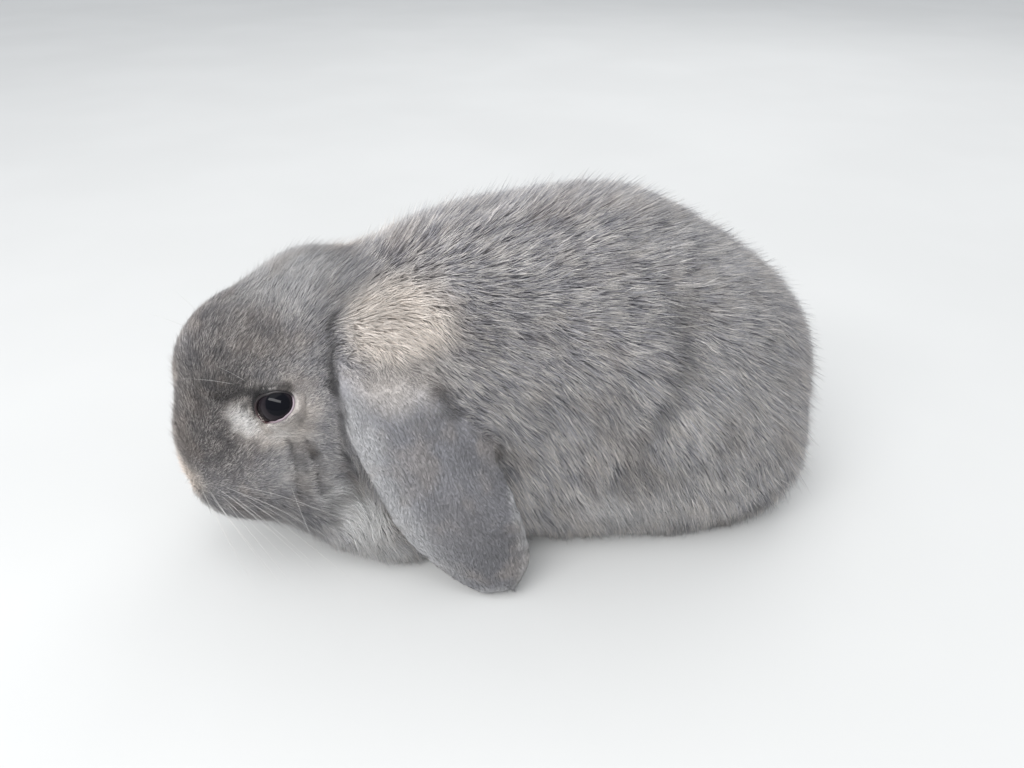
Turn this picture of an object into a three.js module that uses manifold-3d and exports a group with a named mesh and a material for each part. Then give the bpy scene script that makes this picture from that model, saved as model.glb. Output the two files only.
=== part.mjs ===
// A mini lop rabbit at rest, life size, in millimetres.
// +Z is up, the rabbit looks along -Y, and +X is its left side.
// Every solid reaches out to the tips of the coat. The animal crouches with its feet under it,
// its head low and turned a little to its left, and its ears hanging down to the ground.
import * as THREE from "three";
import { mergeVertices } from "three/addons/utils/BufferGeometryUtils.js";
import Module from "manifold-3d";

const wasm = await Module();
wasm.setup();

// ---- Driving dimensions ----
const GAP = 0.35; // between two neighbouring solids
const DETAIL = 9; // how finely the body and the head are faceted
const BELLY_CLEARANCE = 1.5; // from the ground to the underside of the body
const HEAD_PLACE = [1, -79, 66.5]; // middle of the skull
const HEAD_PITCH = 25; // degrees that the nose points below the level
const HEAD_TURN = 15; // degrees that the head turns to its left
const EYE_PLACE = [20.9, -9, 5]; // left eye, in the head's frame
const EYE_RADIUS = 8.2;
const EAR_HALF_WIDTH = 22;
const EAR_THICKNESS = 5.4;
const EAR_ROOT_THICKNESS = 15; // where the ear rises out of the crown
const SOLE_CUT = 2; // how much of each foot's underside is cut flat
const TOE_COUNT = 4;
const TOE_PITCH = 5.2; // from one toe to the next
const CLAW_LENGTH = 5.5;
const TOE_ROOM = [16.5, 19.5, 10.6]; // hollow in the coat round the toes and claws

// Middle line of each ear, from its root on the skull to its tip on the ground.
const EAR_LEFT = {
  path: [
    [8, -57, 86], [25, -53, 95.5], [37.5, -49.5, 84], [45.5, -45, 64],
    [51.5, -38, 46.5], [57.5, -30, 29.5], [62.5, -20.5, 13.5], [67, -13.5, 2.5],
  ],
  across: [0.22, 0.97, -0.04],
};
const EAR_RIGHT = {
  path: [
    [-12, -66, 84], [-26, -64, 93], [-37.5, -61.5, 84], [-44.5, -57, 64],
    [-49, -51.5, 46], [-52, -45.5, 29.5], [-54, -38.5, 13.5], [-55, -33.5, 2.5],
  ],
  across: [-0.12, 0.98, -0.04],
};

// Planes that part the head from the neck and the neck from the trunk; the head side is +normal.
const NAPE = { normal: [0.25, -0.93, 0.28], place: [0, -70, 60] };
const WITHERS = { normal: [0, -0.885, 0.468], place: [0, -25, 115] };

// Bowls that part each leg from the trunk: left side, mirrored for the right.
const THIGH = { place: [44, 60, 34], radii: [34, 46, 42] };
const SHOULDER = { place: [33, -36, 28], radii: [24, 25, 34] };

// Left feet; heel and toe give the middle of the foot at each end.
const HIND_FOOT = { heel: [34, 92, 8], toe: [31, 33, 6.5], half: 11 };
const TAIL = { place: [2, 121, 30], radii: [14, 15, 25], turn: [14, 0, 0] };
const FORE_FOOT = { heel: [17, -26, 9], toe: [19, -53, 6.5], half: 11 };

const FINISH = {
  coat: { color: 0x83848b, roughness: 0.9 },
  face: { color: 0x7d7873, roughness: 0.9 },
  foot: { color: 0xb9b3ab, roughness: 0.9 },
  eye: { color: 0x15100e, roughness: 0.08 },
  claw: { color: 0x4b4038, roughness: 0.4 },
};

const v = (x, y, z) => new THREE.Vector3(x, y, z);
const rad = THREE.MathUtils.degToRad;
const mirrored = ([x, y, z], side) => [x * side, y, z];

// ---- Fields: below zero inside a form, above zero outside, about a distance in millimetres ----

// An ellipsoid, turned about the three axes in degrees.
function egg(place, radii, turn = [0, 0, 0]) {
  const inward = new THREE.Matrix4()
    .makeRotationFromEuler(new THREE.Euler(...turn.map(rad)))
    .setPosition(...place)
    .invert();
  const r = v(...radii);
  const near = new THREE.Vector3();
  const steep = new THREE.Vector3();
  return (p) => {
    near.copy(p).applyMatrix4(inward).divide(r);
    steep.copy(near).divide(r);
    const k = near.length();
    return (k * (k - 1)) / Math.max(steep.length(), 1e-9);
  };
}

// A rod with round ends, from a to b, of a radius at each end.
function limb(a, b, ra, rb) {
  const from = v(...a);
  const along = v(...b).sub(from);
  const span = along.lengthSq();
  const d = new THREE.Vector3();
  return (p) => {
    d.copy(p).sub(from);
    const t = THREE.MathUtils.clamp(d.dot(along) / span, 0, 1);
    return d.addScaledVector(along, -t).length() - THREE.MathUtils.lerp(ra, rb, t);
  };
}

// The same form on both sides of the middle plane.
function pair(form) {
  const q = new THREE.Vector3();
  return (p) => form(q.set(Math.abs(p.x), p.y, p.z));
}

// Forms that flow into each other over a width of soft millimetres.
function flow(soft, ...forms) {
  return (p) =>
    forms.reduce((a, form) => {
      const b = form(p);
      const h = Math.max(soft - Math.abs(a - b), 0) / soft;
      return Math.min(a, b) - (h * h * soft) / 4;
    }, 1e6);
}

// A field that is read in a placed and turned frame.
function moved(form, matrix) {
  const inverse = matrix.clone().invert();
  const q = new THREE.Vector3();
  return (p) => form(q.copy(p).applyMatrix4(inverse));
}

// ---- The animal ----
const bulk = flow(
  24,
  egg([0, -14, 60], [41, 56, 60]), // ribs
  egg([0, 32, 60], [52, 60, 65]), // loin
  egg([0, 70, 46], [52, 58, 53]), // rump
  pair(egg([36, 66, 22], [22, 44, 30], [0, 0, -8])), // thigh
  pair(egg([26, 16, 20], [20, 38, 23])), // flank
  pair(egg([22, -34, 40], [20, 30, 39])), // shoulder
  pair(egg([24, -51, 11], [19, 22, 15])), // elbow
  egg([0, -50, 32], [33, 25, 32]), // breast
  egg([6, -76, 28], [23, 15, 20]), // throat
);
const neck = limb([0, -18, 70], [0, -60, 71], 40, 32);
const skull = flow(
  12,
  egg([0, 7, 5], [24, 33, 30]), // cranium
  egg([0, -11, 11], [20, 24.5, 27]), // forehead
  egg([0, 21, 19], [22, 14, 16]), // crown
  egg([0, -28, -4], [17, 22, 20]), // bridge
  egg([0, -36, -18], [18, 17, 15]), // muzzle
  pair(egg([17, -14, -22], [15, 28, 23])), // cheek
  pair(egg([7, -42, -18], [10, 10, 9])), // lip
  egg([0, -29, -29], [18, 22, 14]), // jaw
  pair(egg([19, 20, 14], [10, 12, 10])), // root of the ear
);
const headFrame = new THREE.Matrix4()
  .makeRotationFromEuler(new THREE.Euler(rad(HEAD_PITCH), 0, rad(HEAD_TURN), "ZYX"))
  .setPosition(...HEAD_PLACE);
const animal = flow(12, flow(20, bulk, neck), moved(skull, headFrame));
const BODY_MIDDLE = v(0, 26, 55);
const clear = (grow) => (p) => Math.max(animal(p) - grow, BELLY_CLEARANCE - grow - p.z);

// ---- Meshes and solids ----
const solid = (geometry) =>
  new wasm.Manifold(
    new wasm.Mesh({
      numProp: 3,
      vertProperties: geometry.getAttribute("position").array,
      triVerts: Uint32Array.from(geometry.index.array),
    }),
  );

// Only the corners and faces of a geometry, with the corners that share a place merged.
function bare(geometry) {
  geometry.deleteAttribute("normal");
  geometry.deleteAttribute("uv");
  return mergeVertices(geometry, 1e-4);
}

// An ellipsoid of few faces.
function spheroid(place, radii, around, rows) {
  const geometry = new THREE.SphereGeometry(1, around, rows);
  geometry.scale(...radii);
  geometry.translate(...place);
  return bare(geometry);
}

// The largest single body of a solid.
const largest = (body) =>
  body.decompose().reduce((a, b) => (b.volume() > a.volume() ? b : a));

// A ball of triangles whose corners are pushed out along their rays to where the field is zero.
function ball(place, detail, field, reach) {
  const geometry = bare(new THREE.IcosahedronGeometry(1, detail));
  const points = geometry.getAttribute("position");
  const ray = new THREE.Vector3();
  const at = new THREE.Vector3();
  const outsideAt = (way) => field(at.copy(place).addScaledVector(ray, way)) > 0;
  for (let i = 0; i < points.count; i++) {
    ray.fromBufferAttribute(points, i).normalize();
    let outside = 2;
    while (outside < reach && !outsideAt(outside)) outside += 2;
    let inside = outside - 2;
    for (let n = 0; n < 22; n++) {
      const middle = (inside + outside) / 2;
      if (outsideAt(middle)) outside = middle;
      else inside = middle;
    }
    at.copy(place).addScaledVector(ray, inside);
    points.setXYZ(i, at.x, at.y, at.z);
  }
  return solid(geometry);
}

// A closed skin round a path: a sphere's rows become the sections from its start to its end.
// frame(t) gives the directions side and out, section(t, angle) the way along each of them.
function sweep(path, around, rows, frame, section) {
  const geometry = new THREE.SphereGeometry(1, around, rows);
  const uv = geometry.getAttribute("uv");
  const points = geometry.getAttribute("position");
  for (let i = 0; i < points.count; i++) {
    const t = 1 - uv.getY(i);
    const p = path.getPointAt(t);
    const { side, out } = frame(t);
    const [a, b] = section(t, -uv.getX(i) * 2 * Math.PI);
    p.addScaledVector(side, a).addScaledVector(out, b);
    points.setXYZ(i, p.x, p.y, p.z);
  }
  return solid(bare(geometry));
}

const curve = (points) => new THREE.CatmullRomCurve3(points.map((p) => v(...p)), false, "centripetal");

// A hanging ear: a cupped leaf, widest low down, hollow towards the body.
function ear({ path, across }) {
  const line = curve(path);
  const wide = v(...across).normalize();
  const outward = Math.sign(path[0][0]);
  const frame = (t) => {
    const along = line.getTangentAt(t);
    const out = along.clone().cross(wide).normalize();
    if (out.x * outward < 0) out.negate();
    return { side: out.clone().cross(along).normalize(), out };
  };
  return sweep(line, 12, 20, frame, (t, angle) => {
    const leaf = 0.66 + 0.34 * THREE.MathUtils.smoothstep(t, 0.05, 0.66);
    const tip = Math.sqrt(Math.max(0, 1 - Math.max(0, (t - 0.62) / 0.38) ** 2.2));
    const root = Math.sqrt(1 - (1 - Math.min(1, t / 0.07)) ** 2);
    const half = EAR_HALF_WIDTH * leaf * tip * root;
    const rise = 1 - THREE.MathUtils.smoothstep(t, 0.1, 0.5);
    const deep = THREE.MathUtils.lerp(EAR_THICKNESS, EAR_ROOT_THICKNESS, rise);
    const thick = (deep / 2) * Math.max(0, 1 - (2 * t - 1) ** 10) ** 0.5;
    const cup = -3.5 * leaf * tip * root * Math.cos(angle) ** 2;
    return [half * Math.cos(angle), thick * Math.sin(angle) + cup];
  });
}

// The part of a foot behind its toes.
function sole({ heel, toe, half }, side, grow = 0) {
  const ends = [v(heel[0] * side, heel[1] + grow, heel[2]), v(toe[0] * side, toe[1] - grow, toe[2])];
  const frame = () => ({ side: v(1, 0, 0), out: v(0, 0, 1) });
  return sweep(new THREE.LineCurve3(...ends), 8, 7, frame, (t, angle) => {
    const round = Math.max(0, 1 - (2 * t - 1) ** 6) ** 0.5;
    const tall = heel[2] + SOLE_CUT + grow;
    return [(half + grow) * round * Math.cos(angle), tall * round * Math.sin(angle)];
  });
}

// A foot flat on the ground: a sole with a row of toes in front.
function foot(form, side) {
  const toes = toePlaces(form, side).map((p) =>
    solid(spheroid([p.x, p.y + 4, p.z - 1.5], [TOE_PITCH * 0.56, 9, 6], 6, 4)),
  );
  return wasm.Manifold.union([sole(form, side), ...toes]).trimByPlane([0, 0, 1], 0);
}

// Middles of the toe ends, the two inner ones a little ahead.
function toePlaces({ toe }, side) {
  return Array.from({ length: TOE_COUNT }, (_, i) => {
    const share = i - (TOE_COUNT - 1) / 2;
    return v(toe[0] * side + share * TOE_PITCH, toe[1] - 3 + Math.abs(share) * 1.5, toe[2]);
  });
}

// A short horn claw that bends down in front of its toe.
function claw(place) {
  const root = v(place.x, place.y - 5.4 - 2 * GAP, place.z - 2.4);
  const line = curve([
    root.toArray(),
    [root.x, root.y - CLAW_LENGTH / 2, root.z - 0.5],
    [root.x, root.y - CLAW_LENGTH, root.z - 2.4],
  ]);
  const frame = () => ({ side: v(1, 0, 0), out: v(0, 0, 1) });
  return sweep(line, 5, 4, frame, (t, angle) => {
    const r = t > 0 ? 1.1 * (1 - t) ** 0.7 : 0;
    return [r * Math.cos(angle), 1.3 * r * Math.sin(angle)];
  });
}

function eye(side, grow = 0) {
  const radius = EYE_RADIUS + grow;
  const ball = spheroid(mirrored(EYE_PLACE, side), [radius, radius, radius], 14, 10);
  return solid(ball.applyMatrix4(headFrame));
}

function bowl({ place, radii }, side, grow = 0) {
  return solid(spheroid(mirrored(place, side), radii.map((r) => r + grow), 14, 7));
}

// The hollow in the coat round the toes and claws of a foot.
function toeHollow({ toe }, side) {
  return bowl({ place: [toe[0], toe[1] - 3.5, toe[2] - 1], radii: TOE_ROOM }, side);
}

// One side of a plane, drawn back by half the gap.
function cut(body, { normal, place }, headward) {
  const n = v(...normal).normalize().multiplyScalar(headward ? 1 : -1);
  return body.trimByPlane(n.toArray(), n.dot(v(...place)) + GAP / 2);
}

// ---- Parts ----
const SIDES = { left: 1, right: -1 };
const bodyBall = (grow) => ball(BODY_MIDDLE, DETAIL, clear(grow), 220);
const headBall = (grow) => ball(v(...HEAD_PLACE), DETAIL, clear(grow), 120);
const rear = bodyBall(0);
const front = headBall(0);
// The whole animal grown by the gap, for what lies against it.
const hull = cut(bodyBall(GAP), NAPE, false).add(cut(headBall(GAP), NAPE, true));
const torso = cut(cut(rear, WITHERS, false), NAPE, false);
const parts = new Map();
const hollows = [];
for (const [name, side] of Object.entries(SIDES)) {
  const stance = [HIND_FOOT, FORE_FOOT].flatMap((form) => [
    sole(form, side, GAP),
    toeHollow(form, side),
  ]);
  const aft = torso.subtract(wasm.Manifold.union(stance));
  parts.set(`hindleg_${name}`, aft.intersect(bowl(THIGH, side)));
  parts.set(`foreleg_${name}`, aft.intersect(bowl(SHOULDER, side)));
  hollows.push(bowl(THIGH, side, GAP), bowl(SHOULDER, side, GAP), ...stance);
  parts.set(`hindfoot_${name}`, foot(HIND_FOOT, side));
  parts.set(`forefoot_${name}`, foot(FORE_FOOT, side));
  toePlaces(HIND_FOOT, side).forEach((p, i) => parts.set(`claw_hind_${name}_${i + 1}`, claw(p)));
  toePlaces(FORE_FOOT, side).forEach((p, i) => parts.set(`claw_fore_${name}_${i + 1}`, claw(p)));
  parts.set(`eye_${name}`, eye(side));
  parts.set(`ear_${name}`, ear(side > 0 ? EAR_LEFT : EAR_RIGHT).subtract(hull));
}
parts.set("tail", ball(v(...TAIL.place), 3, egg(TAIL.place, TAIL.radii, TAIL.turn), 40).subtract(hull));
parts.set("trunk", torso.subtract(wasm.Manifold.union(hollows)));
parts.set("neck", cut(cut(rear, WITHERS, true), NAPE, false));
parts.set("head", cut(front, NAPE, true).subtract(eye(1, GAP)).subtract(eye(-1, GAP)));

const looks = [
  [/^eye/, FINISH.eye],
  [/^claw/, FINISH.claw],
  [/^(fore|hind)foot/, FINISH.foot],
  [/^head/, FINISH.face],
  [/./, FINISH.coat],
];
const rabbit = new THREE.Group();
for (const [name, made] of parts) {
  const mesh = largest(made).getMesh();
  const geometry = new THREE.BufferGeometry();
  geometry.setAttribute("position", new THREE.BufferAttribute(mesh.vertProperties, 3));
  geometry.setIndex(new THREE.BufferAttribute(mesh.triVerts, 1));
  const look = looks.find(([pattern]) => pattern.test(name))[1];
  const node = new THREE.Mesh(geometry, new THREE.MeshStandardMaterial(look));
  node.name = name;
  rabbit.add(node);
}

// The origin is on the ground under the middle of the whole animal.
const box = new THREE.Box3().setFromObject(rabbit);
const middle = box.getCenter(v(0, 0, 0));
rabbit.children.forEach((node) => node.geometry.translate(-middle.x, -middle.y, -box.min.z));

export default rabbit;
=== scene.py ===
"""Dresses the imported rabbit: one skin, a coat of mesh tufts, lids, eyes, claws and whiskers.

Everything is in metres in the frame of the solids: +Z is up, the rabbit looks along -Y and
+X is its left side.
"""

import logging
import math
from dataclasses import dataclass, field, replace
from enum import Enum
from typing import Any, Sequence

import bmesh
import bpy
import numpy as np
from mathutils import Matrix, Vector
from mathutils.bvhtree import BVHTree


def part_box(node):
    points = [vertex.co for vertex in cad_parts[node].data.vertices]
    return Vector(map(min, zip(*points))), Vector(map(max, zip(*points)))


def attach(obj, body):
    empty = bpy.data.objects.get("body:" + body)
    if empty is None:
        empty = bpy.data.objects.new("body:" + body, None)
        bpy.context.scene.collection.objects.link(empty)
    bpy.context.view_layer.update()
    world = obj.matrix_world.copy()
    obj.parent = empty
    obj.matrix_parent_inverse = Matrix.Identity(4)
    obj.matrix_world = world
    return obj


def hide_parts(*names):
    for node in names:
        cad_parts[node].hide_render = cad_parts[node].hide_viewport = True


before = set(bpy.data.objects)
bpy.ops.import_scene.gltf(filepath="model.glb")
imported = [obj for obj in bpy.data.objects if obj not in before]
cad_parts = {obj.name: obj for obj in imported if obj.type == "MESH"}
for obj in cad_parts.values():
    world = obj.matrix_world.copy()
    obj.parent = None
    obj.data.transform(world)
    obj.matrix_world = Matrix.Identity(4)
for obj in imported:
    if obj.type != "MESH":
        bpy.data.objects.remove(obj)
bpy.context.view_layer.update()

LOG = logging.getLogger("rabbit")
MM = 0.001
Array = np.ndarray
Triple = tuple[float, float, float]
Colour = tuple[float, float, float, float]


class Region(Enum):
    """Parts of the skin, each with a coat of its own."""

    BODY = 0
    FACE = 1
    EAR = 2
    FOOT = 3


FLESH = {
    "trunk": Region.BODY,
    "neck": Region.BODY,
    "tail": Region.BODY,
    "hindleg_left": Region.BODY,
    "hindleg_right": Region.BODY,
    "foreleg_left": Region.BODY,
    "foreleg_right": Region.BODY,
    "head": Region.FACE,
    "ear_left": Region.EAR,
    "ear_right": Region.EAR,
    "hindfoot_left": Region.FOOT,
    "hindfoot_right": Region.FOOT,
    "forefoot_left": Region.FOOT,
    "forefoot_right": Region.FOOT,
}


# ---- Small helpers on arrays ----
def unit(vectors: Array) -> Array:
    """Vectors of length one.

    Args:
        vectors: One vector, or rows of them.

    Returns:
        The same directions with a length of one.
    """
    length = np.linalg.norm(vectors, axis=-1, keepdims=True)
    return vectors / np.maximum(length, 1e-12)


def ramp(values: Array, low: float, high: float) -> Array:
    """A smooth step from 0 at low to 1 at high.

    Args:
        values: Numbers to read.
        low: Where the step starts.
        high: Where it ends; it may be below low.

    Returns:
        Numbers from 0 to 1.
    """
    t = np.clip((values - low) / (high - low), 0.0, 1.0)
    return t * t * (3.0 - 2.0 * t)


def flattened(vectors: Array, normals: Array) -> Array:
    """Directions laid down on the surface that the normals stand on.

    Args:
        vectors: Rows of directions.
        normals: Rows of unit normals.

    Returns:
        Unit directions at right angles to the normals.
    """
    return unit(vectors - normals * np.sum(vectors * normals, axis=1, keepdims=True))


def full_turn(count: int) -> Array:
    """Angles spread evenly over one full turn, from 0."""
    return np.arange(count) * 2.0 * math.pi / count


def mirrored_left(local: Array) -> Array:
    """A copy of places with those of the right side mirrored to the left."""
    return np.concatenate([np.abs(local[:, :1]), local[:, 1:]], axis=1)


def ripples(points: Array, size: float, seed: int, waves: int = 9) -> Array:
    """A smooth random field with three components, made of a few sine waves.

    Args:
        points: Rows of places in metres.
        size: About the width of one ripple, in metres.
        seed: Which of the random fields.
        waves: How many sine waves are added.

    Returns:
        Rows of three numbers, mostly between -1 and 1.
    """
    dice = np.random.default_rng(seed)
    made = np.zeros((len(points), 3))
    for _ in range(waves):
        way = unit(dice.normal(size=3)) * dice.uniform(0.6, 1.5) * math.pi / size
        phase = dice.uniform(0.0, 2.0 * math.pi, 3)
        made += np.sin((points @ way)[:, None] + phase)
    return made / math.sqrt(waves)


# ---- Small helpers on meshes ----
def rows_of(items: Any, name: str, width: int, kind: type = np.float32) -> Array:
    """Reads one property of all of a mesh's items.

    Args:
        items: A collection of the mesh, such as its vertices.
        name: The property to read.
        width: How many numbers an item has.
        kind: The type of the numbers, as the mesh holds them.

    Returns:
        A row of numbers for each item.
    """
    flat = np.empty(len(items) * width, dtype=kind)
    items.foreach_get(name, flat)
    return flat.reshape(-1, width)


def corners_of(mesh: bpy.types.Mesh) -> Array:
    """The vertices of a mesh as rows of x, y and z."""
    return rows_of(mesh.vertices, "co", 3).astype(float)


def normals_of(mesh: bpy.types.Mesh) -> Array:
    """The vertex normals of a mesh as rows."""
    return rows_of(mesh.vertex_normals, "vector", 3).astype(float)


def triangles_of(mesh: bpy.types.Mesh) -> Array:
    """The triangles of a mesh as rows of three vertex numbers."""
    mesh.calc_loop_triangles()
    return rows_of(mesh.loop_triangles, "vertices", 3, np.int32)


def edges_of(mesh: bpy.types.Mesh) -> Array:
    """The edges of a mesh as rows of two vertex numbers."""
    return rows_of(mesh.edges, "vertices", 2, np.int32)


def move_corners(mesh: bpy.types.Mesh, places: Array) -> None:
    """Puts the vertices of a mesh at new places."""
    mesh.vertices.foreach_set("co", places.astype(np.float32).ravel())
    mesh.update()


def mesh_from(name: str, places: Array, faces: Array) -> bpy.types.Mesh:
    """A smooth shaded mesh from arrays, quick for very many faces.

    Args:
        name: The mesh's name.
        places: Rows of vertex places.
        faces: Rows of vertex numbers, three or four to a face.

    Returns:
        The new mesh.
    """
    sides = faces.shape[1]
    mesh = bpy.data.meshes.new(name)
    mesh.vertices.add(len(places))
    mesh.vertices.foreach_set("co", places.astype(np.float32).ravel())
    mesh.loops.add(faces.size)
    mesh.loops.foreach_set("vertex_index", faces.astype(np.int32).ravel())
    mesh.polygons.add(len(faces))
    mesh.polygons.foreach_set("loop_start", np.arange(len(faces), dtype=np.int32) * sides)
    mesh.polygons.foreach_set("use_smooth", np.ones(len(faces), dtype=bool))
    mesh.update(calc_edges=True)
    return mesh


def set_attribute(mesh: bpy.types.Mesh, name: str, values: Array) -> None:
    """Stores numbers or vectors on the vertices of a mesh.

    Args:
        mesh: The mesh.
        name: The new attribute's name.
        values: One number, or a row of three, for each vertex.
    """
    kind, entry = ("FLOAT_VECTOR", "vector") if values.ndim == 2 else ("FLOAT", "value")
    layer = mesh.attributes.new(name, kind, "POINT")
    layer.data.foreach_set(entry, values.astype(np.float32).ravel())


def stored(mesh: bpy.types.Mesh, name: str, width: int) -> Array:
    """Reads an attribute of the vertices as rows of width numbers."""
    entry = "value" if width == 1 else "vector"
    return rows_of(mesh.attributes[name].data, entry, width).astype(float)


def shown(name: str, mesh: bpy.types.Mesh) -> bpy.types.Object:
    """Shows a mesh in the scene.

    Args:
        name: The object's name.
        mesh: The mesh, in the model's frame.

    Returns:
        An object at the origin.
    """
    made = bpy.data.objects.new(name, mesh)
    bpy.context.scene.collection.objects.link(made)
    return made


def plain_mesh(source: bpy.types.Object) -> bpy.types.Mesh:
    """The mesh of an object with its modifiers applied."""
    return bpy.data.meshes.new_from_object(source.evaluated_get(bpy.context.evaluated_depsgraph_get()))


def evened(values: Array, edges: Array, steps: Sequence[float], weight: Array | None = None) -> Array:
    """Evens out numbers or places over a mesh, each with the mean of its neighbours.

    Args:
        values: One row for each vertex.
        edges: Rows of two vertex numbers.
        steps: For each pass, the share of the way to the mean.
        weight: How strongly each vertex moves, or None for all alike.

    Returns:
        The evened values.
    """
    table = values[:, None] if values.ndim == 1 else values
    table = table.astype(float)
    count = np.bincount(edges.ravel(), minlength=len(table)).astype(float)[:, None]
    pull = 1.0 if weight is None else weight[:, None]
    for step in steps:
        mean = np.empty_like(table)
        for axis in range(table.shape[1]):
            column = table[:, axis]
            mean[:, axis] = np.bincount(edges[:, 0], column[edges[:, 1]], len(table))
            mean[:, axis] += np.bincount(edges[:, 1], column[edges[:, 0]], len(table))
        mean /= np.maximum(count, 1.0)
        table = table + (mean - table) * step * pull
    return table[:, 0] if values.ndim == 1 else table


def split(quads: Array) -> Array:
    """Two triangles for each row of four vertex numbers."""
    return np.concatenate([quads[:, [0, 1, 2]], quads[:, [0, 2, 3]]])


def band_faces(bands: int, around: int, rings: int) -> Array:
    """Triangles of the bands between rings of vertices.

    Args:
        bands: How many bands there are; as many as the rings where the last joins the first.
        around: Vertices in a ring.
        rings: How many rings there are.

    Returns:
        Rows of three vertex numbers.
    """
    i, j = np.meshgrid(np.arange(bands), np.arange(around), indexing="ij")
    i2, j2 = (i + 1) % rings, (j + 1) % around
    corners = [i * around + j, i2 * around + j, i2 * around + j2, i * around + j2]
    return split(np.stack([corner.ravel() for corner in corners], axis=1))


def ball_faces(rings: int, around: int) -> Array:
    """Triangles of a closed ball: a pole, rings of vertices and the other pole.

    Args:
        rings: How many rings there are.
        around: Vertices in a ring.

    Returns:
        Rows of three vertex numbers.
    """
    body = band_faces(rings - 1, around, rings) + 1
    ring = np.arange(around)
    after = (ring + 1) % around
    base = 1 + (rings - 1) * around
    last = 1 + rings * around
    cap = np.stack([np.zeros(around, dtype=int), 1 + ring, 1 + after], axis=1)
    end = np.stack([np.full(around, last), base + after, base + ring], axis=1)
    return np.concatenate([cap, body, end])


def outwards(places: Array, faces: Array) -> Array:
    """Turns the faces of a closed shape round if they point inwards.

    Args:
        places: Rows of vertex places.
        faces: Rows of three vertex numbers.

    Returns:
        Faces that point outwards.
    """
    a, b, c = (places[faces[:, k]] - places.mean(axis=0) for k in range(3))
    volume = np.sum(a * np.cross(b, c))
    return faces if volume > 0 else faces[:, ::-1]


# ---- Node trees and shader expressions ----
class Graph:
    """A node tree with one method that makes any node."""

    def __init__(self, tree: bpy.types.NodeTree) -> None:
        """Wraps an empty tree."""
        self.tree = tree

    def node(self, kind: str, settings: dict[str, Any] | None = None, **values: Any) -> bpy.types.Node:
        """Makes a node.

        Args:
            kind: The node's type.
            settings: Properties that are set first, such as a Math node's operation.
            **values: Values or links by input name, with _ for a space, or _0, _1 by number.

        Returns:
            The new node.
        """
        made = self.tree.nodes.new(kind)
        for key, value in (settings or {}).items():
            setattr(made, key, value)
        for key, value in values.items():
            number = key[1:]
            socket = made.inputs[int(number) if number.isdigit() else key.replace("_", " ")]
            if isinstance(value, Wire):
                self.tree.links.new(value.socket, socket)
            else:
                socket.default_value = value
        return made

    def wire(
        self, kind: str, output: str | int = 0, settings: dict[str, Any] | None = None, **values: Any
    ) -> "Wire":
        """One output of a new node, ready for expressions.

        Args:
            kind: The node's type.
            output: Name or number of the output.
            settings: Properties that are set first.
            **values: As for node.

        Returns:
            The output as a Wire.
        """
        return Wire(self, self.node(kind, settings, **values).outputs[output])


class Wire:
    """A socket that takes part in expressions."""

    def __init__(self, graph: Graph, socket: bpy.types.NodeSocket) -> None:
        """Wraps a socket of a graph."""
        self.graph = graph
        self.socket = socket

    def _math(self, operation: str, first: Any, second: Any = 0.0) -> "Wire":
        """The result of a Math node."""
        return self.graph.wire("ShaderNodeMath", 0, {"operation": operation}, _0=first, _1=second)

    def __add__(self, other: Any) -> "Wire":
        """self + other"""
        return self._math("ADD", self, other)

    __radd__ = __add__

    def __sub__(self, other: Any) -> "Wire":
        """self - other"""
        return self._math("SUBTRACT", self, other)

    def __rsub__(self, other: Any) -> "Wire":
        """other - self"""
        return self._math("SUBTRACT", other, self)

    def __mul__(self, other: Any) -> "Wire":
        """self * other"""
        return self._math("MULTIPLY", self, other)

    __rmul__ = __mul__

    def fraction(self) -> "Wire":
        """What is left over the whole number below."""
        return self._math("FRACT", self)

    def step(self, low: float, high: float) -> "Wire":
        """A smooth step from 0 at low to 1 at high."""
        settings = {"interpolation_type": "SMOOTHSTEP"}
        return self.graph.wire("ShaderNodeMapRange", 0, settings, _0=self, _1=low, _2=high)


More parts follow.
